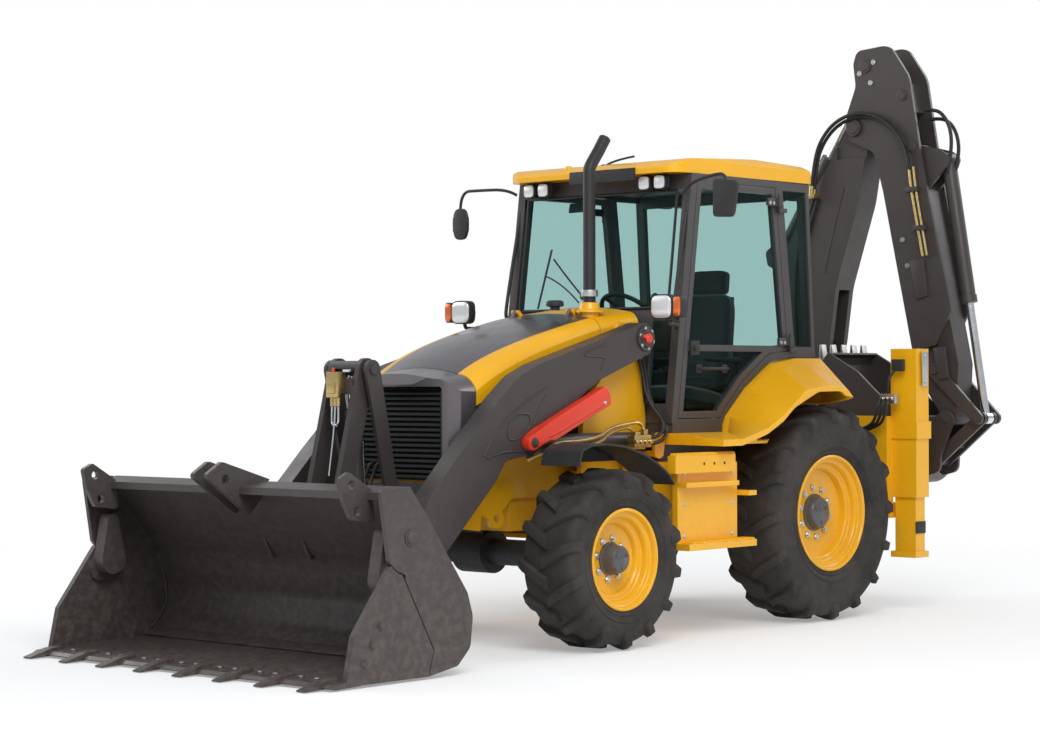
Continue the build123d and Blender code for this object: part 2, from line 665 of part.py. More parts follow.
def inset_polygon(rows, gap):
    """Straight-sided outline moved inwards by gap, keeping its corner radii."""
    count = len(rows)
    area = sum(rows[i - 1][0] * rows[i][1] - rows[i][0] * rows[i - 1][1] for i in range(count))
    turn = 1 if area > 0 else -1
    result = []
    for index, row in enumerate(rows):
        before, after = rows[index - 1], rows[(index + 1) % count]
        first = Vector(row[0] - before[0], row[1] - before[1]).normalized()
        second = Vector(after[0] - row[0], after[1] - row[1]).normalized()
        normal_a = Vector(-first.Y, first.X) * turn
        normal_b = Vector(-second.Y, second.X) * turn
        middle = (normal_a + normal_b).normalized()
        reach = gap / middle.dot(normal_a)
        result.append((row[0] + middle.X * reach, row[1] + middle.Y * reach) + tuple(row[2:]))
    return tuple(result)


def cab_frame():
    """Hollow cab: side walls with door and quarter openings, front and rear frames, tub and floor."""
    inner = CAB_HALF - CAB_WALL
    reach = inner + 10
    wall = profile(*WALL_OUTLINE) - profile(*DOOR_OUTLINE) - profile(*QUARTER_WINDOW)
    pieces = side_pair(wall, inner, CAB_HALF)
    front = leaning_panel(front_face_x, SILL_Z, CAB_TOP_Z, 0, CAB_WALL, reach)
    front += block(1205, 1242, -TUB_HALF, TUB_HALF, FLOOR_Z, SILL_Z + 20)
    front -= leaning_panel(front_face_x, *WINDSCREEN_Z, -10, CAB_WALL + 10, inner - 20)
    for side in (1, -1):
        low, high = sorted((side * (HOOD_HALF + 30), side * (inner - 20)))
        front -= block(1150, 1350, low, high, 1400, WINDSCREEN_Z[0] + 5)
    pieces.append(front)
    rear = leaning_panel(rear_face_x, 1690, CAB_TOP_Z, -CAB_WALL, 0, reach)
    rear += leaning_panel(rear_face_x, FLOOR_Z, 1700, -CAB_WALL, 0, TUB_HALF)
    rear -= leaning_panel(rear_face_x, *REAR_WINDOW_Z, -CAB_WALL - 10, 10, inner - 30)
    pieces.append(rear)
    ceiling = block(rear_face_x(CAB_TOP_Z) + 8, front_face_x(CAB_TOP_Z) - 8, -reach, reach,
                    CAB_TOP_Z - 25, CAB_TOP_Z)
    pieces.append(ceiling)
    pieces.append(block(-250, 1220, -TUB_HALF, TUB_HALF, FLOOR_Z, FLOOR_Z + 40))
    tub_wall = profile(
        (-255, FLOOR_Z), (1200, FLOOR_Z), (1200, SILL_Z), (735, SILL_Z), (713, 1320), (504, 1500, 200),
        (237, 1670, 300), (0, 1690), (-262, 1690))
    pieces += side_pair(tub_wall, TUB_HALF - TUB_WALL, TUB_HALF)
    sill = profile((742, SILL_Z - 60), (1240, SILL_Z - 60), (1240, SILL_Z + 10), (742, SILL_Z + 10))
    pieces += side_pair(sill, TUB_HALF - 5, CAB_HALF)
    foot = Vector(DOOR_HINGE_FOOT[0], 0, DOOR_HINGE_FOOT[1])
    head = Vector(DOOR_HINGE_HEAD[0], 0, DOOR_HINGE_HEAD[1])
    for share in DOOR_HINGE_SHARES:
        centre = foot + (head - foot) * share
        pieces += hinge_bracket(centre, (head - foot).normalized())
    return joined(pieces)


DOOR_HINGE_SHARES = (0.06, 0.94)
HINGE_EYE_RADIUS = 20
HINGE_HEIGHT = 60


def hinge_frame(centre, axis, side):
    return Plane(origin=(centre.X, side * DOOR_HINGE_Y, centre.Z), x_dir=(0, 1, 0), z_dir=axis)


def hinge_bracket(centre, axis):
    """Cab half of a door hinge on both sides: a foot on the rear post and an upright pin."""
    pieces = []
    for side in (1, -1):
        frame = hinge_frame(centre, axis, side)
        pin = frame * Cylinder(HINGE_PIN_RADIUS, HINGE_HEIGHT * 2)
        eye = frame * Pos(0, 0, -HINGE_HEIGHT * 0.75) * Cylinder(HINGE_EYE_RADIUS, HINGE_HEIGHT / 2)
        low, high = sorted((side * (CAB_HALF - 5), side * DOOR_HINGE_Y))
        foot = centre + axis * (-HINGE_HEIGHT * 0.75)
        tab = block(foot.X - 70, foot.X, low, high, foot.Z - 14, foot.Z + 14)
        pieces += [pin, eye, tab]
    return pieces


def cab_glass():
    """Fixed panes: windscreen, rear window and the two quarter windows."""
    inner = CAB_HALF - CAB_WALL
    screen = leaning_panel(front_face_x, *WINDSCREEN_Z, 14, 14 + GLASS, inner - 20)
    back = leaning_panel(rear_face_x, *REAR_WINDOW_Z, -20 - GLASS, -20, inner - 30)
    panes = [screen, back]
    for side in (1, -1):
        low, high = sorted((side * (CAB_HALF - 20), side * (CAB_HALF - 20 + GLASS)))
        panes.append(slab_y(profile(*QUARTER_WINDOW), low, high))
        low, high = sorted((side * (HOOD_HALF + 30), side * (inner - 20)))
        pane = block(1150, 1350, low, high, 1400, WINDSCREEN_Z[0] + 5)
        panes.append(pane & leaning_panel(front_face_x, 1390, WINDSCREEN_Z[0], 14, 14 + GLASS, inner))
    return Compound(panes)


DOOR_FRAME_WIDTH = 42
DOOR_RAIL_Z = 1745


def door_panes():
    """Outlines of a door's upper and lower panes."""
    inside = profile(*inset_polygon(DOOR_OUTLINE, DOOR_GAP + DOOR_FRAME_WIDTH))
    upper = inside & (Pos(600, DOOR_RAIL_Z + 620) * Rectangle(1600, 1200))
    lower = inside & (Pos(600, DOOR_RAIL_Z - 620) * Rectangle(1600, 1200))
    return upper, lower


def door_left():
    """Rear-hung door: a frame round two panes, with the door half of its hinges."""
    outline = profile(*inset_polygon(DOOR_OUTLINE, DOOR_GAP))
    upper, lower = door_panes()
    shape = slab_y(outline - upper - lower, CAB_HALF - CAB_WALL, CAB_HALF)
    foot = Vector(DOOR_HINGE_FOOT[0], 0, DOOR_HINGE_FOOT[1])
    head = Vector(DOOR_HINGE_HEAD[0], 0, DOOR_HINGE_HEAD[1])
    axis = (head - foot).normalized()
    for share in DOOR_HINGE_SHARES:
        centre = foot + (head - foot) * share
        frame = hinge_frame(centre, axis, 1)
        eye = frame * Pos(0, 0, HINGE_HEIGHT * 0.1) * Cylinder(HINGE_EYE_RADIUS, HINGE_HEIGHT)
        middle = centre + axis * (HINGE_HEIGHT * 0.1)
        strap = block(middle.X, middle.X + 120, CAB_HALF, CAB_HALF + 18, middle.Z - 24, middle.Z + 24)
        bore = frame * Cylinder(HINGE_PIN_RADIUS + SHAFT_GAP, HINGE_HEIGHT * 2.2)
        clear = frame * Pos(0, 0, -HINGE_HEIGHT * 0.75) * Cylinder(HINGE_EYE_RADIUS + 5, HINGE_HEIGHT / 2 + 6)
        shape = shape + eye + strap - bore - clear
    return shape


def door_glass_left():
    upper, lower = door_panes()
    low = CAB_HALF - 22
    return Compound([slab_y(upper, low, low + GLASS), slab_y(lower, low, low + GLASS)])


def roof():
    """Domed cab roof with a front visor edge, resting on the cab frame."""
    side = profile(
        (1190, CAB_TOP_Z), (1190, CAB_TOP_Z + 45, 20), (1060, 2920, 120), (300, 2962, 600),
        (-170, 2938, 100), (-262, 2850, 20), (-262, CAB_TOP_Z))
    plan = profile(
        (-262, -ROOF_HALF + 40, 80), (1190, -ROOF_HALF + 60, 120), (1190, ROOF_HALF - 60, 120),
        (-262, ROOF_HALF - 40, 80))
    section = profile(
        (-ROOF_HALF, CAB_TOP_Z), (ROOF_HALF, CAB_TOP_Z), (ROOF_HALF, 2880, 30), (ROOF_HALF - 110, 2965, 120),
        (-ROOF_HALF + 110, 2965, 120), (-ROOF_HALF, 2880, 30))
    return slab_y(side, -ROOF_HALF, ROOF_HALF) & slab_z(plan, 2800, 3000) & slab_x(section, -300, 1300)


def driver_seat():
    """Operator's seat: base, cushion, backrest and two armrests."""
    base = block(60, 360, -160, 160, FLOOR_Z + 40, 1380)
    cushion = slab_y(profile((0, 1380), (480, 1380), (500, 1500, 50), (20, 1470)), -250, 250)
    back = slab_y(profile((-20, 1400), (90, 1430), (10, 2240, 40), (-120, 2230, 50)), -240, 240)
    arms = [block(20, 340, side - 35, side + 35, 1650, 1700) for side in (-285, 285)]
    posts = [block(-10, 40, min(side, side * 0.8), max(side, side * 0.8), 1560, 1700) for side in (-285, 285)]
    return joined([base, cushion, back] + arms + posts)


def steering_column():
    """Dashboard, column and steering wheel."""
    dash = slab_y(profile((1000, FLOOR_Z + 40), (1180, FLOOR_Z + 40), (1120, 1850, 60), (940, 1830, 80),
                          (980, 1700)), -200, 200)
    column = rod_between((960, 0, 1780), (800, 0, 1960), 40)
    wheel_plane = Plane(origin=(792, 0, 1970), z_dir=(-0.66, 0, 0.75))
    wheel_ring = wheel_plane * Torus(190, 15)
    spokes = [wheel_plane * Rot(0, 0, turn) * Pos(95, 0, 0) * Box(190, 26, 14) for turn in (90, 210, 330)]
    centre = wheel_plane * Cylinder(45, 40)
    return joined([dash, column, centre, wheel_ring] + spokes)


# Fenders and steps

# Rear fender seen from the side, as (X, Z) rows: beside the door, at its outer side, and its lip
FENDER_INNER_ROWS = (
    (1250, SILL_Z - 130), (1250, SILL_Z - 60), (735, SILL_Z - 60), (713, 1315), (504, 1495),
    (237, 1652), (0, 1685), (-262, 1685), (-290, 1400), (-300, 1330), (0, 1330), (600, 1150),
)
FENDER_OUTER_ROWS = (
    (1250, 1146), (1250, 1186), (1060, 1186), (800, 1250), (640, 1325), (400, 1480), (130, 1512),
    (-60, 1480), (-200, 1370), (-240, 1290), (0, 1290), (600, 1150),
)
FENDER_LIP_ROWS = (
    (1064, 1146), (935, 1178), (800, 1214), (640, 1287), (520, 1372, 200), (263, 1470, 150), (11, 1473, 100),
    (-103, 1399, 60), (-224, 1299), (-310, 1200), (-310, 900), (1064, 900),
)
FENDER_BEND_Y = CAB_HALF + 40


def rear_fenders():
    """Arched shell over each rear wheel, falling outwards, with the sill below the door."""
    arch = slab_y(disc((0, REAR_RADIUS), REAR_RADIUS + 62), TUB_HALF - 10, FENDER_OUTER + 10)
    inner_hollow = inset_polygon(FENDER_INNER_ROWS, FENDER_SKIN)
    outer_hollow = inset_polygon(FENDER_OUTER_ROWS, FENDER_SKIN)
    shape = slab_y(profile(*FENDER_INNER_ROWS), TUB_HALF, FENDER_BEND_Y)
    shape += loft([side_plane(FENDER_BEND_Y) * profile(*FENDER_INNER_ROWS),
                   side_plane(FENDER_OUTER) * profile(*FENDER_OUTER_ROWS)], ruled=True)
    hollow = slab_y(profile(*inner_hollow), TUB_HALF - 10, FENDER_BEND_Y)
    hollow += loft([side_plane(FENDER_BEND_Y) * profile(*inner_hollow),
                    side_plane(FENDER_OUTER - FENDER_SKIN) * profile(*outer_hollow)], ruled=True)
    hollow = hollow & block(-400, 700, TUB_HALF - 20, FENDER_OUTER, 900, 1800)
    lip = slab_y(profile(*FENDER_LIP_ROWS), FENDER_BEND_Y + 200, FENDER_OUTER + 10)
    return both(shape - hollow - arch - lip)


def front_fenders():
    """Mudguard over each front wheel with its bracket from the frame."""
    rows = [(WHEELBASE + dx, z, r) for dx, z, r in (
        (-560, 935, 0), (-500, 1000, 80), (-400, 1062, 150), (-274, 1120, 200), (-100, 1168, 300),
        (50, 1185, 300), (200, 1180, 60), (285, 1150, 30), (310, 1060, 0), (310, 900, 0), (-560, 900, 0))]
    sheet = profile(*rows) - profile(*inset_polygon(rows, GUARD_SHEET))
    sheet -= profile(*[(WHEELBASE + dx, z) for dx, z in (
        (-600, 880), (-600, 928), (100, 928), (100, 1060), (340, 1060), (340, 880))])
    skirt = profile(*rows) & (Pos(WHEELBASE - 15, 1170) * Rectangle(640, 200))
    stay_x = WHEELBASE - 320
    guard = slab_y(sheet, *GUARD_Y) + slab_y(skirt, GUARD_Y[0], GUARD_Y[0] + GUARD_SHEET)
    guard += block(stay_x, stay_x + 30, RAIL_OUTER, GUARD_Y[0] + 20, 1080, 1102)
    return both(guard)


GUARD_Y = (770, 1060)
GUARD_SHEET = 12


def step_boxes():
    """Side boxes that carry the steps, one on each side of the frame."""
    rear, front = STEP_X
    body = block(rear, front, RAIL_OUTER, 1000, 560, 1045)
    body -= block(rear - 10, front + 10, RAIL_OUTER - 10, TOWER_OUTER + 15, 750, 1200)
    face = block(front - 5, front + 45, 960, 1000, 560, 1045)
    top = block(1040, front + 125, 990, 1050, 990, 1095)
    tread = block(1030, front + 45, 990, 1070, 905, 935)
    low = block(880, front + 45, 990, 1090, 530, 570)
    step = block(880, rear, 940, 1090, 840, 870)
    return both(body + face + top + tread + low + step)


STEP_X = (960, WHEELBASE - 700)


def lamps():
    """Headlamps on their brackets and the work lamps under the roof edge."""
    head = block(1420, 1490, 765, 925, 1915, 2065)
    turn = block(1420, 1485, 925, 975, 1925, 2055)
    arm = rod_between((1440, 845, 1925), (1440, 845, 1880), 12)
    arm += rod_between((1440, 845, 1885), (1184, CAB_HALF - 14, 1885), 12)
    arm += block(1172, 1186, CAB_HALF - 39, CAB_HALF, 1860, 1910)
    pair = head + turn + arm
    work = []
    for y in (422, 545):
        work.append(block(1085, 1150, y - 50, y + 50, 2735, 2815) + block(1105, 1130, y - 15, y + 15, 2810, CAB_TOP_Z))
        work.append(block(-300, -240, y - 50, y + 50, 2735, 2815) + block(-262, -215, y - 15, y + 15, 2800, CAB_TOP_Z))
    return Compound([both(pair)] + [both(lamp) for lamp in work])


def mirrors():
    """Two mirrors on tube arms from the front posts."""
    left = block(1120, 1150, 960, 1150, 2530, 2760)
    right = block(1120, 1150, -1268, -1090, 2480, 2700)
    left += mirror_arm(1, 1050, 2740)
    right += mirror_arm(-1, 1180, 2690)
    return Compound([left, right])


def mirror_arm(side, reach, foot_z):
    """Base plate on the cab's front post, the tube out to one mirror and its drop."""
    base = block(1012, 1042, *sorted((side * CAB_HALF, side * (CAB_HALF + 8))), 2700, 2790)
    tube = rod_between((1027, side * (CAB_HALF + 6), 2760), (1135, side * reach, 2790), 11)
    drop = rod_between((1135, side * reach, 2803), (1135, side * reach, foot_z), 14)
    return base + tube + drop


# Loader

def loader_arms():
    """Two welded arms joined by a cross tube that carries the tilt linkage."""
    outline = profile(
        (1360, 1715, 60), (1850, 1548), (2300, 1290, 120), (2412, 1245), (2480, 1110), (2560, 1105, 30),
        (2680, 1088, 60), (2760, 975, 80), (2984, 764, 150), (3171, 590, 100), (3340, 340), (3500, 330), (3500, 430),
        (3310, 890, 60), (3064, 1131), (2733, 1436, 120), (2560, 1570, 200), (2391, 1640, 300), (1420, 1900, 60),
        (1330, 1850, 60),
    )
    tip = disc(ARM_TIP, 78)
    corner = profile((3320, 260), (3540, 260), (3540, 365), (3430, 365), (3330, 365))
    arm_face = (outline - corner) + tip
    arm = slab_y(arm_face, ARM_INNER, ARM_OUTER)
    arm += bar_y(KNEE_PIN, 75, ARM_INNER, ARM_OUTER)
    slot = disc(KNEE_PIN, 56) + profile(
        (2536, 1180), (2480, 1236), (2290, 1310), (2150, 1310), (2150, 1050), (2536, 1050))
    half = EYE_WIDTH / 2 + MOVING_GAP
    arm -= slab_y(slot, LIFT_Y - half, LIFT_Y + half)
    arm -= bar_y(ARM_PIVOT, ARM_PIN_RADIUS + SHAFT_GAP, ARM_INNER - 10, ARM_OUTER + 10)
    arm -= bar_y(ARM_TIP, PIN_RADIUS + SHAFT_GAP, ARM_INNER - 10, ARM_OUTER + 10)
    pieces = [arm, mirror(arm, about=Plane.XZ)]
    pieces.append(bar_y(CROSS_TUBE, CROSS_TUBE_RADIUS, -ARM_INNER, ARM_INNER))
    lever_lug = link_shape(CROSS_TUBE, 58, LEVER_FOOT, 42)
    pieces += side_pair(lever_lug, LEVER_OUTER + MOVING_GAP, LEVER_OUTER + MOVING_GAP + 25)
    pieces += [bar_y(LEVER_FOOT, PIN_RADIUS, LEVER_INNER - 5, LEVER_OUTER + 10),
               bar_y(LEVER_FOOT, PIN_RADIUS, -LEVER_OUTER - 10, -LEVER_INNER + 5)]
    tilt_lug = link_shape(CROSS_TUBE, 58, TILT_BASE, 42)
    lug_inner = TILT_BARREL_RADIUS + MOVING_GAP
    pieces += side_pair(tilt_lug, lug_inner, lug_inner + 22)
    pieces.append(bar_y(TILT_BASE, PIN_RADIUS, -lug_inner, lug_inner))
    return joined(pieces)


def arm_strut():
    """Red safety strut stowed along the left arm, an open channel with its pivot end."""
    low, high = ARM_OUTER, ARM_OUTER + 62
    shape = link_shape((2500, 1190), 52, (1880, 1440), 62)
    channel = slab_y(shape, low, high) - slab_y(link_shape((2500, 1180), 44, (1870, 1432), 54), low + 8, high - 8)
    return channel


def lift_cylinders():
    """Both lift cylinders, opened at the rod eyes under the arms' knees."""
    barrel, rod = cylinder_pair(
        loader_place(LIFT_Y), LIFT_BASE, KNEE_PIN, LIFT_CLOSED, LIFT_BARREL_RADIUS, 30, 48, EYE_WIDTH,
        PIN_RADIUS, LIFT_END_GAP)
    return both(barrel), both(rod)


def tilt_lever():
    """Rear legs of the tilt linkage: two flat bars from the cross tube to the apex pin."""
    plate = link_shape(LEVER_FOOT, 46, APEX, 56) - disc(LEVER_FOOT, PIN_RADIUS + SHAFT_GAP)
    bar = slab_y(plate, LEVER_INNER, LEVER_OUTER)
    bar += bar_y(APEX, PIN_RADIUS, EYE_WIDTH / 2 + 27, LEVER_OUTER + 12)
    return both(bar)


def tilt_link():
    """Front legs of the tilt linkage: a fork of two bars under a curved cap, down to the bucket."""
    shape = link_shape(APEX, 66, LINK_FOOT, 48)
    plate = shape - disc(APEX, PIN_RADIUS + SHAFT_GAP)
    pieces = side_pair(plate, FORK_INNER, FORK_OUTER)
    cap = (disc(APEX, 66) - disc(APEX, 56)) & profile(
        APEX, (APEX[0] + 110, APEX[1] + 10), (APEX[0] + 110, APEX[1] + 80), (APEX[0] + 70, APEX[1] + 84))
    pieces.append(slab_y(cap, -FORK_INNER, FORK_INNER))
    stub = bar_y(LINK_FOOT, PIN_RADIUS, FORK_INNER, FORK_OUTER + 8)
    pieces += [stub, mirror(stub, about=Plane.XZ)]
    return joined(pieces)


def tilt_cylinder():
    return cylinder_pair(
        loader_place(0), TILT_BASE, APEX, TILT_CLOSED, TILT_BARREL_RADIUS, 26, 40, EYE_WIDTH, PIN_RADIUS)


# Back wall of the loader bucket, from its top lip down to the foot, as (X, Z) rows
BACK_OUTER = ((4015, 985), (3890, 820, 200), (3680, 560, 300), (3600, 330, 150), (3630, 170, 120), (3732, 78))
BACK_INNER = ((3755, 95), (3652, 185, 100), (3622, 325, 130), (3700, 545, 280), (3908, 805, 180), (4035, 972))
SEAM_RADIUS = 192
CORNER_HOOK_Y = (1035, 1065)
CORNER_HOOK_HOLES = ((4291, 1014), (4250, 879))
CORNER_HOOK_HOLE_RADIUS = 24
CENTRE_HOOK_Y = (40, 70)
CENTRE_HOOK_HOLE, CENTRE_HOOK_HOLE_RADIUS = (4273, 1017), 26


def bucket_back():
    """Rear half of the bucket: the curved back wall, its top lip, end plates, hooks and hinge lugs."""
    plate_inner = BUCKET_HALF - BUCKET_PLATE
    wall_half = plate_inner + 5
    lip = profile((4000, 950), (4180, 935), (4180, 975), (4000, 1000))
    foot_lip = profile((3732, 78), (3775, 75.5), (3840, 67.5), (3840, 75), (3752, 104))
    pieces = [slab_y(profile(*BACK_OUTER, *BACK_INNER), -wall_half, wall_half), slab_y(lip, -wall_half, wall_half)]
    pieces.append(slab_y(foot_lip, -CHEEK_INNER + 30, CHEEK_INNER - 30))
    end = profile(
        (4027, 1000, 20), (4240, 990, 20), (4174, 592), (4081, 557), (3850, 147), (3882, 46), (3882, 16),
        (3677, 50, 40), (3580, 140, 60), (3560, 305, 100), (3600, 430, 60), (3762, 651, 200), (3905, 850, 200))
    front_low = profile((4062, 650), (4300, 650), (4300, 400), (4062, 400)) - disc(CLAM_PIN, SEAM_RADIUS)
    pieces += side_pair(end - front_low, plate_inner, BUCKET_HALF)
    hook = profile((4374, 1050, 20), (4307, 1082, 20), (4144, 984), (4124, 813, 20), (4288, 835, 30), (4348, 940))
    for hole in CORNER_HOOK_HOLES:
        hook -= disc(hole, CORNER_HOOK_HOLE_RADIUS)
    pieces += side_pair(hook, *CORNER_HOOK_Y)
    centre_hook = profile((4418, 1040, 20), (4297, 1114, 30), (3958, 1010), (4020, 900), (4104, 816, 30))
    pieces += side_pair(centre_hook - disc(CENTRE_HOOK_HOLE, CENTRE_HOOK_HOLE_RADIUS), *CENTRE_HOOK_Y)
    hinge_lug = link_shape(ARM_TIP, 62, (3640, 340), 90)
    hinge_lug = hinge_lug & profile((3300, 200), (3612, 200), (3612, 380), (3690, 560), (3300, 560))
    lug_inner, lug_outer = ARM_INNER - 34, ARM_OUTER + MOVING_GAP + 3
    for inner in (lug_inner, lug_outer):
        pieces += side_pair(hinge_lug, inner, inner + 25)
    for side in (1, -1):
        low, high = sorted((side * lug_inner, side * (lug_outer + 25)))
        pieces.append(bar_y(ARM_TIP, PIN_RADIUS, low, high))
    link_lug = profile((LINK_FOOT[0] - 45, 570, 30), (3740, 560), (3830, 720), (LINK_FOOT[0] - 20, 650, 45))
    pieces += side_pair(link_lug, FORK_OUTER + 14, FORK_OUTER + 40)
    pieces += side_pair(disc(CLAM_PIN, CLAM_PIN_RADIUS), CHEEK_INNER - CLAM_ARM_PLATE - 10, BUCKET_HALF + 12)
    return joined(pieces)


def clam():
    """Front half of the bucket: floor, cutting edge with teeth, cheeks and the hinge arms."""
    floor = profile((3775, 68), (3800, 40), (4480, 12), (4480, 32), (3800, 62))
    pieces = [slab_y(floor, -CHEEK_INNER - 2, CHEEK_INNER + 2)]
    edge = profile((4380, 12), (4560, 6), (4590, 16), (4560, 32), (4380, 42))
    pieces.append(slab_y(edge, -BUCKET_HALF, BUCKET_HALF))
    cheek = profile(
        (4088, 557), (4088, 600), (4168, 600), (4429, 261), (4485, 14), (3889, 14), (3889, 46), (3857, 147))
    pieces += side_pair(cheek - disc(CLAM_PIN, SEAM_RADIUS + MOVING_GAP), CHEEK_INNER, BUCKET_HALF)
    arm = link_shape(CLAM_PIN, 58, (4150, 470), 70) - disc(CLAM_PIN, CLAM_PIN_RADIUS + SHAFT_GAP)
    arm_inner = CHEEK_INNER - CLAM_ARM_PLATE
    pieces += side_pair(arm, arm_inner, CHEEK_INNER)
    pieces += side_pair(link_shape((4120, 750), 38, (4115, 525), 85), arm_inner - 80, arm_inner)
    tooth = profile((4470, 10), (TOOTH_TIP_X, 2), (TOOTH_TIP_X, 10), (4560, 48, 20), (4470, 56))
    for index in range(TOOTH_COUNT):
        y = -TOOTH_SPAN + 2 * TOOTH_SPAN * index / (TOOTH_COUNT - 1)
        pieces.append(slab_y(tooth, y - 32, y + 32))
    return joined(pieces)


# Rear frame, carriage and backhoe

def rear_frame():
    """Slide frame behind the cab: two rails across the machine between the leg housings."""
    low_x, high_x = REAR_FRAME_X
    outer_y = LEG_Y[0] - MOVING_GAP - HOUSING_WALL / 2
    upper = block(low_x + 30, high_x, -outer_y, outer_y, 1200, 1300)
    lower = block(low_x + 30, high_x, -outer_y, outer_y, 620, 720)
    panel = block(high_x - 75, high_x, -outer_y, outer_y, 700, 1220) - block(
        high_x - 90, high_x + 20, -300, 300, 820, 1100)
    pieces = [upper, lower, panel]
    gap = MOVING_GAP
    x_low, x_high = LEG_X[0] - gap, LEG_X[1] + gap
    y_low, y_high = LEG_Y[0] - gap, LEG_Y[1] + gap
    wall = HOUSING_WALL
    sleeve = block(x_low - wall, x_high + wall, y_low - wall, y_high + wall, HOUSING_FOOT, HOUSING_TOP)
    sleeve += block(x_low - wall - 12, x_high + wall + 12, y_low - wall - 12, y_high + wall + 12, 1150, 1265)
    sleeve -= block(x_low, x_high, y_low, y_high, HOUSING_FOOT + 70, HOUSING_TOP - 80)
    near = SLIDE_GAP
    sleeve -= block(LEG_X[0] - near, LEG_X[1] + near, LEG_Y[0] - near, LEG_Y[1] + near,
                    HOUSING_FOOT - 10, HOUSING_TOP - 20)
    pieces += [sleeve, mirror(sleeve, about=Plane.XZ)]
    return joined(pieces)


def stabilizer_left():
    """Sliding leg with its foot plate."""
    leg = block(LEG_X[0], LEG_X[1], LEG_Y[0], LEG_Y[1], LEG_FOOT, LEG_TOP)
    leg += block(LEG_X[0] - 25, LEG_X[1] + 25, LEG_Y[0] - 20, LEG_Y[1] + 15, LEG_FOOT, LEG_FOOT + 40)
    return leg


def hoe_carriage():
    """Side-shift carriage: a plate clamped on the rails with two arms for the slew pins."""
    face_x = REAR_FRAME_X[0] + 30 - SLIDE_GAP
    plate = block(face_x - 45, face_x, CARRIAGE_Y - 260, CARRIAGE_Y + 260, 560, 1360)
    top_hook = block(face_x - 45, REAR_FRAME_X[1], CARRIAGE_Y - 260, CARRIAGE_Y + 260,
                     1300 + SLIDE_GAP, 1360)
    low_hook = block(face_x - 45, REAR_FRAME_X[1], CARRIAGE_Y - 260, CARRIAGE_Y + 260,
                     560, 620 - SLIDE_GAP)
    pieces = [plate, top_hook, low_hook]
    for low, high in SLEW_ARMS_Z:
        arm = Pos(0, CARRIAGE_Y) * link_shape((SLEW_X, 0), 110, (face_x - 60, 0), 210)
        arm = arm & (Pos(SLEW_X / 2 + face_x / 2 - 80, CARRIAGE_Y) * Rectangle(face_x - SLEW_X + 120, 600))
        pieces.append(slab_z(arm, low, high))
    body = joined(pieces)
    for low, high in SLEW_ARMS_Z:
        body -= bar_z(SLEW_X, CARRIAGE_Y, POST_RADIUS + SHAFT_GAP, low - 10, high + 10)
    return body


SLEW_ARMS_Z = ((560, 640), (1080, 1160))


def swing_post():
    """Kingpost that turns in the carriage and carries the boom's foot and its cylinder."""
    low_arm, high_arm = SLEW_ARMS_Z
    column = bar_z(SLEW_X, CARRIAGE_Y, POST_RADIUS, low_arm[0], high_arm[1] + 10)
    body = bar_z(SLEW_X, CARRIAGE_Y, 95, low_arm[1] + MOVING_GAP, high_arm[0] - MOVING_GAP)
    inner, outer = BOOM_OUTER + MOVING_GAP, BOOM_OUTER + MOVING_GAP + 30
    cheek = profile(
        (CARRIAGE_Y, 650), (CARRIAGE_Y + 170, 650), (BOOM_CYLINDER_BASE[0] - 60, 690, 40),
        (BOOM_CYLINDER_BASE[0] + 70, 690, 50),
        (BOOM_CYLINDER_BASE[0] + 65, 800, 50), (BOOM_FOOT[0] + 70, 960, 60), (BOOM_FOOT[0] - 70, 980, 60),
        (CARRIAGE_Y, 1070))
    pieces = [column, body] + hoe_pair(cheek, inner, outer)
    web = profile((CARRIAGE_Y, 650), (CARRIAGE_Y + 150, 650), (CARRIAGE_Y + 150, 1070), (CARRIAGE_Y, 1070))
    pieces.append(hoe_slab(web, -outer, outer))
    pieces += hoe_pair(disc(BOOM_FOOT, ARM_PIN_RADIUS), BOOM_POCKET - 4, outer)
    pieces.append(bar_x(BOOM_FOOT, PIN_RADIUS, SLEW_X - BOOM_POCKET, SLEW_X + BOOM_POCKET))
    pieces.append(bar_x(BOOM_CYLINDER_BASE, PIN_RADIUS, SLEW_X - outer, SLEW_X + outer))
    return joined(pieces)


BOOM_OUTER = 110
BOOM_POCKET = 66


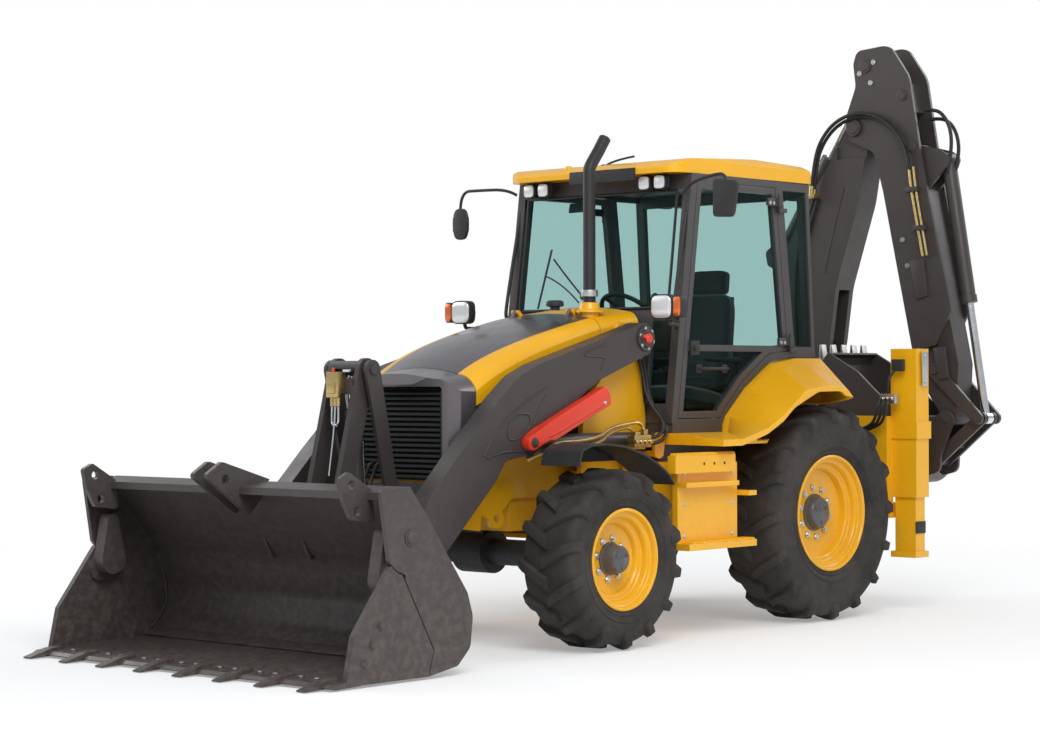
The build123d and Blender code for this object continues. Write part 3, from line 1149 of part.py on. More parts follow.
def boom():
    """Curved boom: a deep box that narrows to the tip, open in front where its cylinder lies."""
    outline = profile(
        (BOOM_FOOT[0] - 75, BOOM_FOOT[1] - 40, 60), (BOOM_FOOT[0] + 50, BOOM_FOOT[1] - 40, 50),
        (BOOM_FOOT[0] + 55, 1090, 60), (4, 1600, 300), (80, 1800, 300), (136, 2200, 600), (330, 2790, 500), (420, 3290, 60), (330, 3400, 60), (250, 3350, 60),
        (70, 3055, 400), (-120, 2795, 300), (-325, 2420, 250), (-260, 1700, 900),
    )
    shape = hoe_slab(outline, -BOOM_OUTER, BOOM_OUTER)
    tip_cut = profile((150, 3100), (500, 3100), (500, 3500), (150, 3500))
    shape -= joined(hoe_pair(tip_cut, BOOM_HALF, BOOM_OUTER + 10))
    pocket = profile(
        (-250, 600), (400, 600), (400, 1900), (60, 2260, 40), (-90, 2260, 60), (-110, 1900), (-140, 1300), (-135, 1000),
        (-250, 1000))
    shape -= hoe_slab(pocket, -BOOM_POCKET, BOOM_POCKET)
    shape -= bar_x(BOOM_FOOT, ARM_PIN_RADIUS + SHAFT_GAP, SLEW_X - 200, SLEW_X + 200)
    shape += bar_x(BOOM_FOOT, 62, SLEW_X + BOOM_POCKET, SLEW_X + BOOM_OUTER) - bar_x(
        BOOM_FOOT, ARM_PIN_RADIUS + SHAFT_GAP, SLEW_X, SLEW_X + 200)
    lug = profile((-300, 2620, 40), (-500, 2470, 40), (-480, 2370, 40), (-290, 2300))
    inner = DIPPER_BARREL_RADIUS + MOVING_GAP
    pieces = [shape] + hoe_pair(lug, inner, inner + 25)
    pieces.append(bar_x(DIPPER_CYLINDER_BASE, PIN_RADIUS, SLEW_X - inner - 25, SLEW_X + inner + 25))
    pin_end = DIPPER_HALF + 12
    pieces.append(bar_x(BOOM_TIP, ARM_PIN_RADIUS, SLEW_X - pin_end, SLEW_X + pin_end))
    return joined(pieces)


def boom_cylinder():
    return cylinder_pair(hoe_place, BOOM_CYLINDER_BASE, BOOM_CYLINDER_EYE, BOOM_CLOSED, 45, 30, 46,
                         EYE_WIDTH, PIN_RADIUS)


def dipper_point(reach, off):
    """Point on the dipper: reach runs down its axis, off is to its right."""
    angle = math.radians(DIPPER_LEAN)
    y = DIPPER_MIDDLE[0] + reach * math.sin(angle) + off * math.cos(angle)
    z = DIPPER_MIDDLE[1] - reach * math.cos(angle) + off * math.sin(angle)
    return (y, z)


def dipper():
    """Outer dipper: two head plates that carry the pivot, and a channel for the extension."""
    half = DIPPER_DEPTH / 2
    head = profile(
        (330, 3850, 60), (600, 3870, 110), (760, 3640, 200), dipper_point(DIPPER_TOP_REACH + 150, half),
        dipper_point(DIPPER_TOP_REACH + 300, half), dipper_point(DIPPER_TOP_REACH + 300, -half),
        (470, 3130, 60), (250, 3230, 60), (240, 3400, 60), (320, 3600, 100), (300, 3760, 60),
    )
    plate = profile(
        dipper_point(DIPPER_TOP_REACH, -half), dipper_point(DIPPER_END_REACH, -half),
        dipper_point(DIPPER_END_REACH, 15), dipper_point(DIPPER_END_REACH - 190, half),
        dipper_point(DIPPER_TOP_REACH, half))
    inner = DIPPER_HALF - DIPPER_PLATE
    pieces = hoe_pair(head, inner, DIPPER_HALF) + hoe_pair(plate, inner, DIPPER_HALF)
    back = profile(
        dipper_point(DIPPER_TOP_REACH + 60, -half), dipper_point(DIPPER_END_REACH, -half),
        dipper_point(DIPPER_END_REACH, -half + 22), dipper_point(DIPPER_TOP_REACH + 60, -half + 22))
    pieces.append(hoe_slab(back, -inner, inner))
    cap = profile((560, 3560), (700, 3600), (740, 3400), (600, 3360))
    pieces.append(hoe_slab(cap, -inner, inner))
    pieces.append(bar_x(BOOM_TIP, 72, SLEW_X + BOOM_HALF + MOVING_GAP, SLEW_X + DIPPER_HALF))
    pieces.append(bar_x(BOOM_TIP, 72, SLEW_X - DIPPER_HALF, SLEW_X - BOOM_HALF - MOVING_GAP))
    pin_end = DIPPER_HALF + 12
    pieces.append(bar_x(DIPPER_HEAD, PIN_RADIUS, SLEW_X + EYE_WIDTH / 2 + 10, SLEW_X + pin_end))
    pieces.append(bar_x(DIPPER_HEAD, PIN_RADIUS, SLEW_X - pin_end, SLEW_X - EYE_WIDTH / 2 - 10))
    for low, high in ((DIPPER_END_REACH - 120, DIPPER_END_REACH - 10), (-400, -300)):
        pad = profile(dipper_point(low, -half + 25), dipper_point(high, -half + 25),
                      dipper_point(high, half - 20), dipper_point(low, half - 20))
        pieces += hoe_pair(pad & plate, EXTENSION_HALF + SLIDE_GAP, inner + 2)
    return joined(pieces) - bar_x(BOOM_TIP, ARM_PIN_RADIUS + SHAFT_GAP, SLEW_X - 200, SLEW_X + 200)


def dipper_extension():
    """Sliding inner section: a box with the lug of the bucket cylinder and the link pivots."""
    half = EXTENSION_DEPTH / 2
    box_face = profile(
        dipper_point(EXTENSION_TOP_REACH, -half), dipper_point(1010, -half), (989, 1302), (1050, 1235),
        (1111, 1300), dipper_point(900, half), dipper_point(EXTENSION_TOP_REACH, half)) + disc(BUCKET_HINGE, 62)
    shape = hoe_slab(box_face, -EXTENSION_HALF, EXTENSION_HALF)
    shape -= bar_x(BUCKET_HINGE, ARM_PIN_RADIUS + SHAFT_GAP, SLEW_X - 200, SLEW_X + 200)
    inner = CROWD_BARREL_RADIUS + MOVING_GAP
    lug = profile(dipper_point(EXTENSION_TOP_REACH, half - 5), (CROWD_BASE[0] - 10, CROWD_BASE[1] + 55, 40),
                  (CROWD_BASE[0] + 55, CROWD_BASE[1] + 10, 40), (CROWD_BASE[0] + 30, CROWD_BASE[1] - 60, 40),
                  dipper_point(EXTENSION_TOP_REACH + 330, half - 5))
    pieces = [shape] + hoe_pair(lug, inner, inner + 22)
    pieces.append(bar_x(CROWD_BASE, PIN_RADIUS, SLEW_X - inner - 22, SLEW_X + inner + 22))
    pieces.append(bar_x(LEVER_PIVOT, PIN_RADIUS, SLEW_X - EAR_OUTER - 10, SLEW_X + EAR_OUTER + 10))
    return joined(pieces)


def dipper_cylinder():
    return cylinder_pair(hoe_place, DIPPER_CYLINDER_BASE, DIPPER_HEAD, DIPPER_CLOSED, DIPPER_BARREL_RADIUS, 30, 46,
                         EYE_WIDTH, PIN_RADIUS)


def crowd_cylinder():
    return cylinder_pair(hoe_place, CROWD_BASE, LEVER_EYE, CROWD_CLOSED, CROWD_BARREL_RADIUS, 28, 40,
                         EYE_WIDTH, PIN_RADIUS)


def hoe_lever():
    """Two curved-ended bars from the extension to the bucket cylinder's rod eye."""
    plate = link_shape(LEVER_PIVOT, 52, LEVER_EYE, 42) - disc(LEVER_PIVOT, PIN_RADIUS + SHAFT_GAP)
    pieces = hoe_pair(plate, EAR_INNER, EAR_OUTER)
    stub_inner = EYE_WIDTH / 2 + 10
    pieces.append(bar_x(LEVER_EYE, PIN_RADIUS, SLEW_X + stub_inner, SLEW_X + EAR_OUTER + 8))
    pieces.append(bar_x(LEVER_EYE, PIN_RADIUS, SLEW_X - EAR_OUTER - 8, SLEW_X - stub_inner))
    return Compound([pieces[0] + pieces[2], pieces[1] + pieces[3]])


def push_link():
    """Link from the lever to the bucket, opened at its bucket pin."""
    plate = link_shape(LEVER_EYE, 42, BUCKET_LINK_PIN, 44) - disc(LEVER_EYE, PIN_RADIUS + SHAFT_GAP)
    tie = between(LEVER_EYE, BUCKET_LINK_PIN, 0.62)
    pieces = hoe_pair(plate, HOE_LINK_INNER, HOE_LINK_OUTER)
    pieces.append(bar_x(tie, 24, SLEW_X - HOE_LINK_INNER, SLEW_X + HOE_LINK_INNER))
    pieces.append(bar_x(BUCKET_LINK_PIN, PIN_RADIUS, SLEW_X - HOE_LINK_OUTER - 14, SLEW_X + HOE_LINK_OUTER + 14))
    return joined(pieces)


def hoe_bucket():
    """Digging bucket, curled against the dipper: side plates, curved shell, ears and teeth."""
    half = HOE_BUCKET_HALF
    outer = (
        (130, 1650), (185, 1330, 300), (430, 900, 320), (700, 800, 160), (850, 925, 130), (975, 1290),
        (950, 1300), (690, 1385, 200), (445, 1600, 150), (200, 1735))
    side = profile(*outer)
    shell_outer = profile(*outer)
    shell_inner = profile(
        (175, 1700), (160, 1650), (210, 1338, 275), (446, 925, 295), (692, 825, 140), (828, 938, 110), (952, 1305),
        (980, 1500), (600, 1900))
    shell = hoe_slab(shell_outer - shell_inner, -half, half)
    pieces = [shell] + hoe_pair(side, half - 22, half)
    ear = profile(
        (BUCKET_HINGE[0] + 62, BUCKET_HINGE[1] - 20, 50), (BUCKET_HINGE[0] + 20, BUCKET_HINGE[1] + 66, 50),
        (955, 1290), (835, 920), (880, 880, 30), (BUCKET_LINK_PIN[0] + 70, BUCKET_LINK_PIN[1] - 70, 60),
        (BUCKET_LINK_PIN[0] + 75, BUCKET_LINK_PIN[1] + 40, 60))
    pieces += hoe_pair(ear, EAR_INNER, EAR_OUTER)
    pieces.append(bar_x(BUCKET_HINGE, ARM_PIN_RADIUS, SLEW_X - EAR_OUTER - 10, SLEW_X + EAR_OUTER + 10))
    tooth = profile((150, 1560), (150, 1660), (128, 1788), (116, 1788), (108, 1660), (112, 1560))
    for index in range(HOE_TOOTH_COUNT):
        middle = -half + 50 + (2 * half - 100) * index / (HOE_TOOTH_COUNT - 1)
        pieces.append(hoe_slab(tooth, middle - 28, middle + 28))
    return joined(pieces)


def build_nodes():
    """Every node's shape by its name, in drawing coordinates."""
    nodes = {
        "chassis": chassis(), "engine_block": engine_block(), "nose": nose(), "grille": grille(),
        "cowl": cowl(), "exhaust": exhaust(), "cab_frame": cab_frame(), "cab_glass": cab_glass(),
        "roof": roof(), "driver_seat": driver_seat(), "steering_column": steering_column(),
        "rear_fenders": rear_fenders(), "front_fenders": front_fenders(), "step_boxes": step_boxes(),
        "lamps": lamps(), "mirrors": mirrors(), "axles": axles(), "rear_frame": rear_frame(),
        "door_left": door_left(), "door_glass_left": door_glass_left(),
        "knuckle_left": knuckle_left(), "loader_arms": loader_arms(), "arm_strut": arm_strut(),
        "tilt_lever": tilt_lever(), "tilt_link": tilt_link(), "bucket_back": bucket_back(), "clam": clam(),
        "hoe_carriage": hoe_carriage(), "swing_post": swing_post(), "boom": boom(), "dipper": dipper(),
        "dipper_extension": dipper_extension(), "hoe_lever": hoe_lever(), "push_link": push_link(),
        "hoe_bucket": hoe_bucket(), "stabilizer_left": stabilizer_left(),
    }
    nodes["hood"], nodes["hood_centre"] = hood()
    nodes.update(wheels())
    nodes["lift_barrels"], nodes["lift_rods"] = lift_cylinders()
    nodes["tilt_barrel"], nodes["tilt_rod"] = tilt_cylinder()
    nodes["boom_barrel"], nodes["boom_rod"] = boom_cylinder()
    nodes["dipper_barrel"], nodes["dipper_rod"] = dipper_cylinder()
    nodes["crowd_barrel"], nodes["crowd_rod"] = crowd_cylinder()
    for name in ("door", "door_glass", "knuckle", "stabilizer"):
        nodes[name + "_right"] = mirror(nodes[name + "_left"], about=Plane.XZ)
    return nodes


def main():
    os.makedirs("parts", exist_ok=True)
    for name, shape in build_nodes().items():
        solids = (Pos(-ORIGIN_X, 0, 0) * shape).solids()
        export_step(Compound(list(solids)), "parts/" + name + ".step")


if __name__ == "__main__":
    main()
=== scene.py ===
import math

import bmesh
import bpy
from mathutils import Matrix, Vector


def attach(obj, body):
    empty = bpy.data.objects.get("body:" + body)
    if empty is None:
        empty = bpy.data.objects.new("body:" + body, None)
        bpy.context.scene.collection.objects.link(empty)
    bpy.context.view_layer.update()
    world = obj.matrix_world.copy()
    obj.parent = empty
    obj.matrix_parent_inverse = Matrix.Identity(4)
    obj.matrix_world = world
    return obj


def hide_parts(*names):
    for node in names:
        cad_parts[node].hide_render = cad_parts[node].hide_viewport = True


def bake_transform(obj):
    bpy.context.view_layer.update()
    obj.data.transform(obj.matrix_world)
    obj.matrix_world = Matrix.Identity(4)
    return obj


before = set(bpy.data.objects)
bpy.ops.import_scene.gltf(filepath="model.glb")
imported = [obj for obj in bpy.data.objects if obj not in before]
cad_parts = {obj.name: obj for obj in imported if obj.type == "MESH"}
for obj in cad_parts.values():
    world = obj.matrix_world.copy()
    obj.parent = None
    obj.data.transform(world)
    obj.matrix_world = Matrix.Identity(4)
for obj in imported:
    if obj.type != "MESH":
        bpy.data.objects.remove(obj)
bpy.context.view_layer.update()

# Places are given as on the machine itself: X forward from the rear axle, Y to the left and
# Z up from the ground, in metres. MIDDLE_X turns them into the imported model's frame.
MIDDLE_X = 1.475


def place(x, y, z):
    """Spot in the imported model's frame for a place on the machine."""
    return Vector((x - MIDDLE_X, y, z))


# Camera, light and floor

# Camera solved from the photograph: where it stands, its turns in degrees, and its lens in mm
CAMERA_SPOT = (12.9061, 10.051, 1.5508)
CAMERA_YAW, CAMERA_PITCH, CAMERA_ROLL = 42.2385, -0.2279, -0.1526
SENSOR_WIDTH, FOCAL_LENGTH = 36, 84.22


def photo_camera():
    """A long lens at head height, left of the bucket."""
    yaw, pitch, roll = (math.radians(turn) for turn in (CAMERA_YAW, CAMERA_PITCH, CAMERA_ROLL))
    back = Vector((math.cos(yaw) * math.cos(pitch), math.sin(yaw) * math.cos(pitch), math.sin(pitch)))
    right = Vector((-math.sin(yaw), math.cos(yaw), 0))
    up = back.cross(right)
    right, up = math.cos(roll) * right + math.sin(roll) * up, math.cos(roll) * up - math.sin(roll) * right
    lens = bpy.data.cameras.new("photo_lens")
    lens.sensor_width = SENSOR_WIDTH
    lens.lens = FOCAL_LENGTH
    lens.clip_end = 200
    camera = bpy.data.objects.new("photo_camera", lens)
    turn = Matrix((right, up, back)).transposed().to_4x4()
    camera.matrix_world = Matrix.Translation(place(*CAMERA_SPOT)) @ turn
    bpy.context.collection.objects.link(camera)
    bpy.context.scene.camera = camera


def soft_light(name, spot, target, size, power):
    """Rectangular light at a spot, turned to its target."""
    light = bpy.data.lights.new(name, "AREA")
    light.shape = "RECTANGLE"
    light.size, light.size_y = size
    light.energy = power
    holder = bpy.data.objects.new(name, light)
    holder.location = place(*spot)
    holder.rotation_euler = (place(*target) - place(*spot)).to_track_quat("-Z", "Y").to_euler()
    bpy.context.collection.objects.link(holder)


def background_ray(tree):
    """Share that is 1 where the camera, a reflection or a pane sees the surface."""
    path = tree.nodes.new("ShaderNodeLightPath")
    seen = path.outputs["Is Camera Ray"]
    for name in ("Is Glossy Ray", "Is Transmission Ray"):
        either = tree.nodes.new("ShaderNodeMath")
        either.operation = "MAXIMUM"
        tree.links.new(seen, either.inputs[0])
        tree.links.new(path.outputs[name], either.inputs[1])
        seen = either.outputs[0]
    return seen


SKY_TINT, SKY_STRENGTH = (0.93, 0.96, 1.0), 0.55


def studio():
    """Three soft lights, and a world that lights softly but shows white behind the machine."""
    soft_light("key_light", (7, 7, 8), (1, 0, 1), (6, 6), 720)
    soft_light("side_light", (3, -9, 6), (1, 0, 1), (6, 5), 330)
    soft_light("back_light", (-8, 3, 7), (0, 0, 1.5), (6, 5), 330)
    world = bpy.data.worlds.new("studio")
    bpy.context.scene.world = world
    world.use_nodes = True
    tree = world.node_tree
    tree.nodes.clear()
    out = tree.nodes.new("ShaderNodeOutputWorld")
    shown = tree.nodes.new("ShaderNodeBackground")
    shown.inputs["Color"].default_value = (1, 1, 1, 1)
    lit = tree.nodes.new("ShaderNodeBackground")
    lit.inputs["Color"].default_value = (*SKY_TINT, 1)
    lit.inputs["Strength"].default_value = SKY_STRENGTH
    pick = tree.nodes.new("ShaderNodeMixShader")
    path = tree.nodes.new("ShaderNodeLightPath")
    seen = tree.nodes.new("ShaderNodeMath")
    seen.operation = "MAXIMUM"
    tree.links.new(path.outputs["Is Camera Ray"], seen.inputs[0])
    tree.links.new(path.outputs["Is Transmission Ray"], seen.inputs[1])
    tree.links.new(seen.outputs[0], pick.inputs["Fac"])
    tree.links.new(lit.outputs[0], pick.inputs[1])
    tree.links.new(shown.outputs[0], pick.inputs[2])
    tree.links.new(pick.outputs[0], out.inputs["Surface"])


# radii between which the floor turns to white, its half size and how far it lies below the wheels
FLOOR_FADE = (3.2, 9.0)
FLOOR_HALF = 60
FLOOR_DROP = 0.002
NEAR_WHITE = 0.30


def floor():
    """Pale sheet that keeps the machine's shadow and turns to plain white further out."""
    sheet = bpy.data.meshes.new("floor")
    corners = [(a * FLOOR_HALF, b * FLOOR_HALF, -FLOOR_DROP) for a,
               b in ((-1, -1), (1, -1), (1, 1), (-1, 1))]
    sheet.from_pydata(corners, [], [(0, 1, 2, 3)])
    ground = bpy.data.objects.new("floor", sheet)
    bpy.context.collection.objects.link(ground)
    pale = Finish("pale_floor")
    pale.set(Base_Color=(0.95, 0.95, 0.95, 1), Roughness=0.9, Specular_IOR_Level=0.1)
    far = pale.add("ShaderNodeVectorMath", operation="LENGTH")
    pale.link(pale.coords, far.inputs[0])
    share = pale.span(far.outputs["Value"], *FLOOR_FADE, NEAR_WHITE, 1.0)
    white = pale.add("ShaderNodeEmission", Strength=1.0)
    blend = pale.add("ShaderNodeMixShader")
    pale.link(pale.math("MULTIPLY", share, background_ray(pale.tree)), blend.inputs["Fac"])
    pale.link(pale.shader.outputs[0], blend.inputs[1])
    pale.link(white.outputs[0], blend.inputs[2])
    out = next(node for node in pale.tree.nodes if node.type == "OUTPUT_MATERIAL")
    pale.link(blend.outputs[0], out.inputs["Surface"])
    ground.data.materials.append(pale.material)


# Finishes

class Finish:
    """One material under construction: nodes are added left to right into its shader."""

    def __init__(self, name):
        self.material = bpy.data.materials.new(name)
        self.material.use_nodes = True
        self.tree = self.material.node_tree
        self.shader = self.tree.nodes["Principled BSDF"]
        self.coords = self.add("ShaderNodeTexCoord").outputs["Object"]

    def add(self, kind, **values):
        node = self.tree.nodes.new(kind)
        for key, value in values.items():
            if hasattr(node, key):
                setattr(node, key, value)
            else:
                node.inputs[key.replace("_", " ")].default_value = value
        return node

    def link(self, source, target):
        self.tree.links.new(source, target)

    def noise(self, scale, detail=4.0, roughness=0.55, stretch=None):
        node = self.add("ShaderNodeTexNoise", Scale=scale, Detail=detail, Roughness=roughness)
        if stretch:
            turn = self.add("ShaderNodeMapping")
            turn.inputs["Scale"].default_value = stretch
            self.link(self.coords, turn.inputs["Vector"])
            self.link(turn.outputs["Vector"], node.inputs["Vector"])
        else:
            self.link(self.coords, node.inputs["Vector"])
        return node.outputs["Fac"]

    def span(self, source, low, high, out_low=0.0, out_high=1.0):
        node = self.add("ShaderNodeMapRange")
        for key, value in (("From Min", low), ("From Max", high), ("To Min", out_low), ("To Max", out_high)):
            node.inputs[key].default_value = value
        self.link(source, node.inputs["Value"])
        return node.outputs["Result"]

    def math(self, operation, first, second):
        node = self.add("ShaderNodeMath", operation=operation)
        for index, value in enumerate((first, second)):
            if isinstance(value, (int, float)):
                node.inputs[index].default_value = value
            else:
                self.link(value, node.inputs[index])
        return node.outputs[0]

    def mix(self, share, first, second):
        """Colour first where share is 0 and second where it is 1."""
        node = self.add("ShaderNodeMix", data_type="RGBA")
        self.link(share, node.inputs["Factor"])
        for key, value in ((6, first), (7, second)):
            if isinstance(value, tuple):
                node.inputs[key].default_value = (*value, 1)
            else:
                self.link(value, node.inputs[key])
        return node.outputs[2]

    def height(self):
        split = self.add("ShaderNodeSeparateXYZ")
        self.link(self.coords, split.inputs[0])
        return split

    def colour(self, source):
        self.link(source, self.shader.inputs["Base Color"])

    def rough(self, source):
        if isinstance(source, (int, float)):
            self.shader.inputs["Roughness"].default_value = source
        else:
            self.link(source, self.shader.inputs["Roughness"])

    def bump(self, source, strength, distance, normal=None):
        node = self.add("ShaderNodeBump", Strength=strength, Distance=distance)
        self.link(source, node.inputs["Height"])
        if normal is not None:
            self.link(normal, node.inputs["Normal"])
        self.link(node.outputs["Normal"], self.shader.inputs["Normal"])
        return node.outputs["Normal"]

    def rounded(self, radius):
        node = self.add("ShaderNodeBevel", samples=4, Radius=radius)
        self.link(node.outputs["Normal"], self.shader.inputs["Normal"])
        return node.outputs["Normal"]

    def set(self, **values):
        for key, value in values.items():
            self.shader.inputs[key.replace("_", " ")].default_value = value
        return self


def darker(colour, share):
    return tuple(c * share for c in colour)


DUST = (0.30, 0.23, 0.16)


def painted(name, colour, rough=0.32, coat=0.25, peel=0.10, dust=0.25, edge=0.004, metallic=0.0):
    """Sprayed paint on plate: slow colour drift, fine ripple, and thin dust near the ground."""
    f = Finish(name)
    drift = f.span(f.noise(1.3, 3.0), 0.3, 0.7)
    body = f.mix(drift, darker(colour, 0.93), tuple(min(c * 1.05, 1.0) for c in colour))
    fine = f.span(f.noise(23.0, 6.0, 0.65), 0.42, 0.75)
    low = f.span(f.height().outputs["Z"], 0.0, 1.3, 1.0, 0.0)
    amount = f.math("MULTIPLY", f.math("MULTIPLY", low, fine), dust)
    f.colour(f.mix(amount, body, DUST))
    f.rough(f.math("ADD", f.span(f.noise(7.0, 4.0), 0.35, 0.7, rough - 0.05, rough + 0.08),
                   f.math("MULTIPLY", amount, 0.6)))
    f.set(Metallic=metallic, Coat_Weight=coat, Coat_Roughness=0.12)
    f.bump(f.noise(320.0, 2.0, 0.4), peel, 0.0008, f.rounded(edge))
    return f.material


def forged(name, colour, rough=0.55, grain=0.35, edge=0.005, metallic=0.0):
    """Cast or forged metal with a sandy skin."""
    f = Finish(name)
    tone = f.span(f.noise(9.0, 6.0, 0.6), 0.3, 0.75)
    f.colour(f.mix(tone, darker(colour, 0.82), tuple(min(c * 1.15, 1) for c in colour)))
    f.rough(f.span(f.noise(30.0, 4.0), 0.3, 0.7, rough - 0.08, rough + 0.1))
    f.set(Metallic=metallic)
    f.bump(f.noise(210.0, 4.0, 0.7), grain, 0.0012, f.rounded(edge))
    return f.material


def plated(name, colour, rough=0.28):
    """Zinc-plated or chromed steel with faint handling marks."""
    f = Finish(name)
    f.colour(f.mix(f.span(f.noise(14.0, 5.0), 0.35, 0.7), darker(colour, 0.86), colour))
    f.rough(f.span(f.noise(60.0, 4.0), 0.3, 0.7, rough - 0.06, rough + 0.1))
    f.set(Metallic=1.0)
    f.bump(f.noise(400.0, 2.0), 0.05, 0.0005, f.rounded(0.002))
    return f.material


def moulded(name, colour, rough=0.6, grain=0.25):
    """Grained moulded plastic."""
    f = Finish(name)
    f.colour(f.mix(f.span(f.noise(4.0, 3.0), 0.3, 0.7), darker(colour, 0.88), darker(colour, 1.12)))
    f.rough(f.span(f.noise(45.0, 3.0), 0.3, 0.7, rough - 0.06, rough + 0.08))
    pits = f.add("ShaderNodeTexVoronoi", Scale=420.0)
    f.link(f.coords, pits.inputs["Vector"])
    f.bump(pits.outputs["Distance"], grain, 0.0006, f.rounded(0.003))
    return f.material


def tyre_rubber():
    """Black rubber with cloudy dust."""
    f = Finish("tyre_rubber")
    stain = f.span(f.noise(3.2, 7.0, 0.65), 0.35, 0.75)
    dusty = f.mix(f.math("MULTIPLY", stain, 0.42), (0.021, 0.019, 0.018), (0.105, 0.090, 0.078))
    f.colour(dusty)
    f.rough(f.span(f.noise(18.0, 5.0), 0.3, 0.7, 0.62, 0.85))
    f.set(Specular_IOR_Level=0.35)
    f.bump(f.noise(140.0, 6.0, 0.7), 0.30, 0.0015)
    return f.material


def tinted_glass(name, tint):
    """Thin tinted pane: mostly clear, with a sharp reflection that grows at a slant."""
    f = Finish(name)
    clear = f.add("ShaderNodeBsdfTransparent")
    clear.inputs["Color"].default_value = (*tint, 1)
    f.set(Base_Color=(0.01, 0.02, 0.018, 1), Roughness=0.03, Specular_IOR_Level=0.7)
    smear = f.span(f.noise(5.0, 4.0), 0.4, 0.8, 0.02, 0.09)
    f.link(smear, f.shader.inputs["Roughness"])
    facing = f.add("ShaderNodeLayerWeight", Blend=0.5).outputs["Facing"]
    share = f.span(f.math("POWER", facing, 5.0), 0.0, 1.0, 0.05, 1.0)
    blend = f.add("ShaderNodeMixShader")
    f.link(share, blend.inputs["Fac"])
    f.link(clear.outputs[0], blend.inputs[1])
    f.link(f.shader.outputs[0], blend.inputs[2])
    out = next(n for n in f.tree.nodes if n.type == "OUTPUT_MATERIAL")
    f.link(blend.outputs[0], out.inputs["Surface"])
    return f.material


def woven(name, colour):
    """Coarse seat cloth: crossed threads with a soft sheen."""
    f = Finish(name)
    waves = []
    for axis in ("X", "Z"):
        wave = f.add("ShaderNodeTexWave", wave_type="BANDS", bands_direction=axis, Scale=260.0,
                     Distortion=0.6)
        f.link(f.coords, wave.inputs["Vector"])
        waves.append(wave.outputs["Fac"])
    weave = f.math("MULTIPLY", waves[0], waves[1])
    f.colour(f.mix(weave, darker(colour, 0.6), darker(colour, 1.5)))
    f.rough(0.9)
    f.set(Sheen_Weight=0.4, Sheen_Roughness=0.5)
    f.bump(weave, 0.5, 0.001)
    return f.material


def lens(name, colour):
    """Ribbed lamp lens over a bright reflector."""
    f = Finish(name)
    ribs = f.add("ShaderNodeTexWave", wave_type="BANDS", bands_direction="Y", Scale=70.0)
    f.link(f.coords, ribs.inputs["Vector"])
    f.colour(f.mix(ribs.outputs["Fac"], darker(colour, 0.75), colour))
    f.rough(0.12)
    f.set(Coat_Weight=1.0, Coat_Roughness=0.03, Metallic=0.35)
    f.bump(ribs.outputs["Fac"], 0.4, 0.001)
    return f.material


YELLOW = (0.86, 0.430, 0.006)
CHARCOAL = (0.047, 0.038, 0.037)

finishes = {
    "machine_yellow": painted("machine_yellow", YELLOW, rough=0.32, coat=0.20),
    "boom_charcoal": painted("boom_charcoal", CHARCOAL, rough=0.45, coat=0.10, dust=0.18),
    "bucket_charcoal": painted("bucket_charcoal", (0.056, 0.046, 0.045), rough=0.48, coat=0.08, dust=0.30),
    "hood_grey": painted("hood_grey", (0.135, 0.120, 0.130), rough=0.32, coat=0.5, peel=0.06, metallic=0.5),
    "cab_grey": painted("cab_grey", (0.052, 0.047, 0.048), rough=0.40, coat=0.15, dust=0.1),
    "strut_red": painted("strut_red", (0.76, 0.040, 0.012), rough=0.35, coat=0.3),
    "hub_grey": painted("hub_grey", (0.072, 0.073, 0.082), rough=0.35, coat=0.2, peel=0.05),
    "axle_black": forged("axle_black", (0.022, 0.022, 0.024)),
    "engine_grey": forged("engine_grey", (0.06, 0.06, 0.06)),
    "stack_black": painted("stack_black", (0.016, 0.015, 0.015), rough=0.5, coat=0.0, dust=0.0),
    "rod_chrome": plated("rod_chrome", (0.78, 0.79, 0.80), 0.10),
    "zinc": plated("zinc", (0.62, 0.62, 0.60), 0.32),
    "worn_steel": plated("worn_steel", (0.56, 0.55, 0.53), 0.38),
    "gold_zinc": plated("gold_zinc", (0.66, 0.50, 0.22), 0.30),
    "mirror_glass": plated("mirror_glass", (0.80, 0.83, 0.85), 0.06),
    "plastic_black": moulded("plastic_black", (0.020, 0.020, 0.021)),
    "hose_black": moulded("hose_black", (0.012, 0.012, 0.012), rough=0.5),
    "tyre_rubber": tyre_rubber(),
    "glass_green": tinted_glass("glass_green", (0.78, 0.885, 0.875)),
    "seat_cloth": woven("seat_cloth", (0.022, 0.022, 0.024)),
    "lens_clear": lens("lens_clear", (0.85, 0.86, 0.88)),
    "lens_amber": lens("lens_amber", (0.85, 0.16, 0.01)),
}

NODE_FINISHES = {
    "machine_yellow": (
        "chassis", "cowl", "hood", "roof", "rear_fenders", "step_boxes", "rear_frame", "stabilizer_left",
        "stabilizer_right"),
    "boom_charcoal": (
        "loader_arms", "tilt_lever", "tilt_link", "tilt_barrel", "lift_barrels", "hoe_carriage",
        "swing_post", "boom", "boom_barrel", "dipper", "dipper_barrel", "dipper_extension",
        "crowd_barrel", "hoe_lever", "push_link", "hoe_bucket"),
    "bucket_charcoal": ("bucket_back", "clam"),
    "hood_grey": ("nose", "hood_centre"),
    "cab_grey": ("cab_frame", "door_left", "door_right"),
    "strut_red": ("arm_strut",),
    "axle_black": ("axles", "knuckle_left", "knuckle_right"),
    "engine_grey": ("engine_block",),
    "stack_black": ("exhaust",),
    "rod_chrome": ("lift_rods", "tilt_rod", "boom_rod", "dipper_rod", "crowd_rod"),
    "plastic_black": ("grille", "front_fenders", "steering_column"),
    "glass_green": ("cab_glass", "door_glass_left", "door_glass_right"),
}


def finish_nodes():
    """Give each carried-over solid its finish."""
    for finish, nodes in NODE_FINISHES.items():
        for node in nodes:
            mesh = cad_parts[node].data
            mesh.materials.clear()
            mesh.materials.append(finishes[finish])


# Making

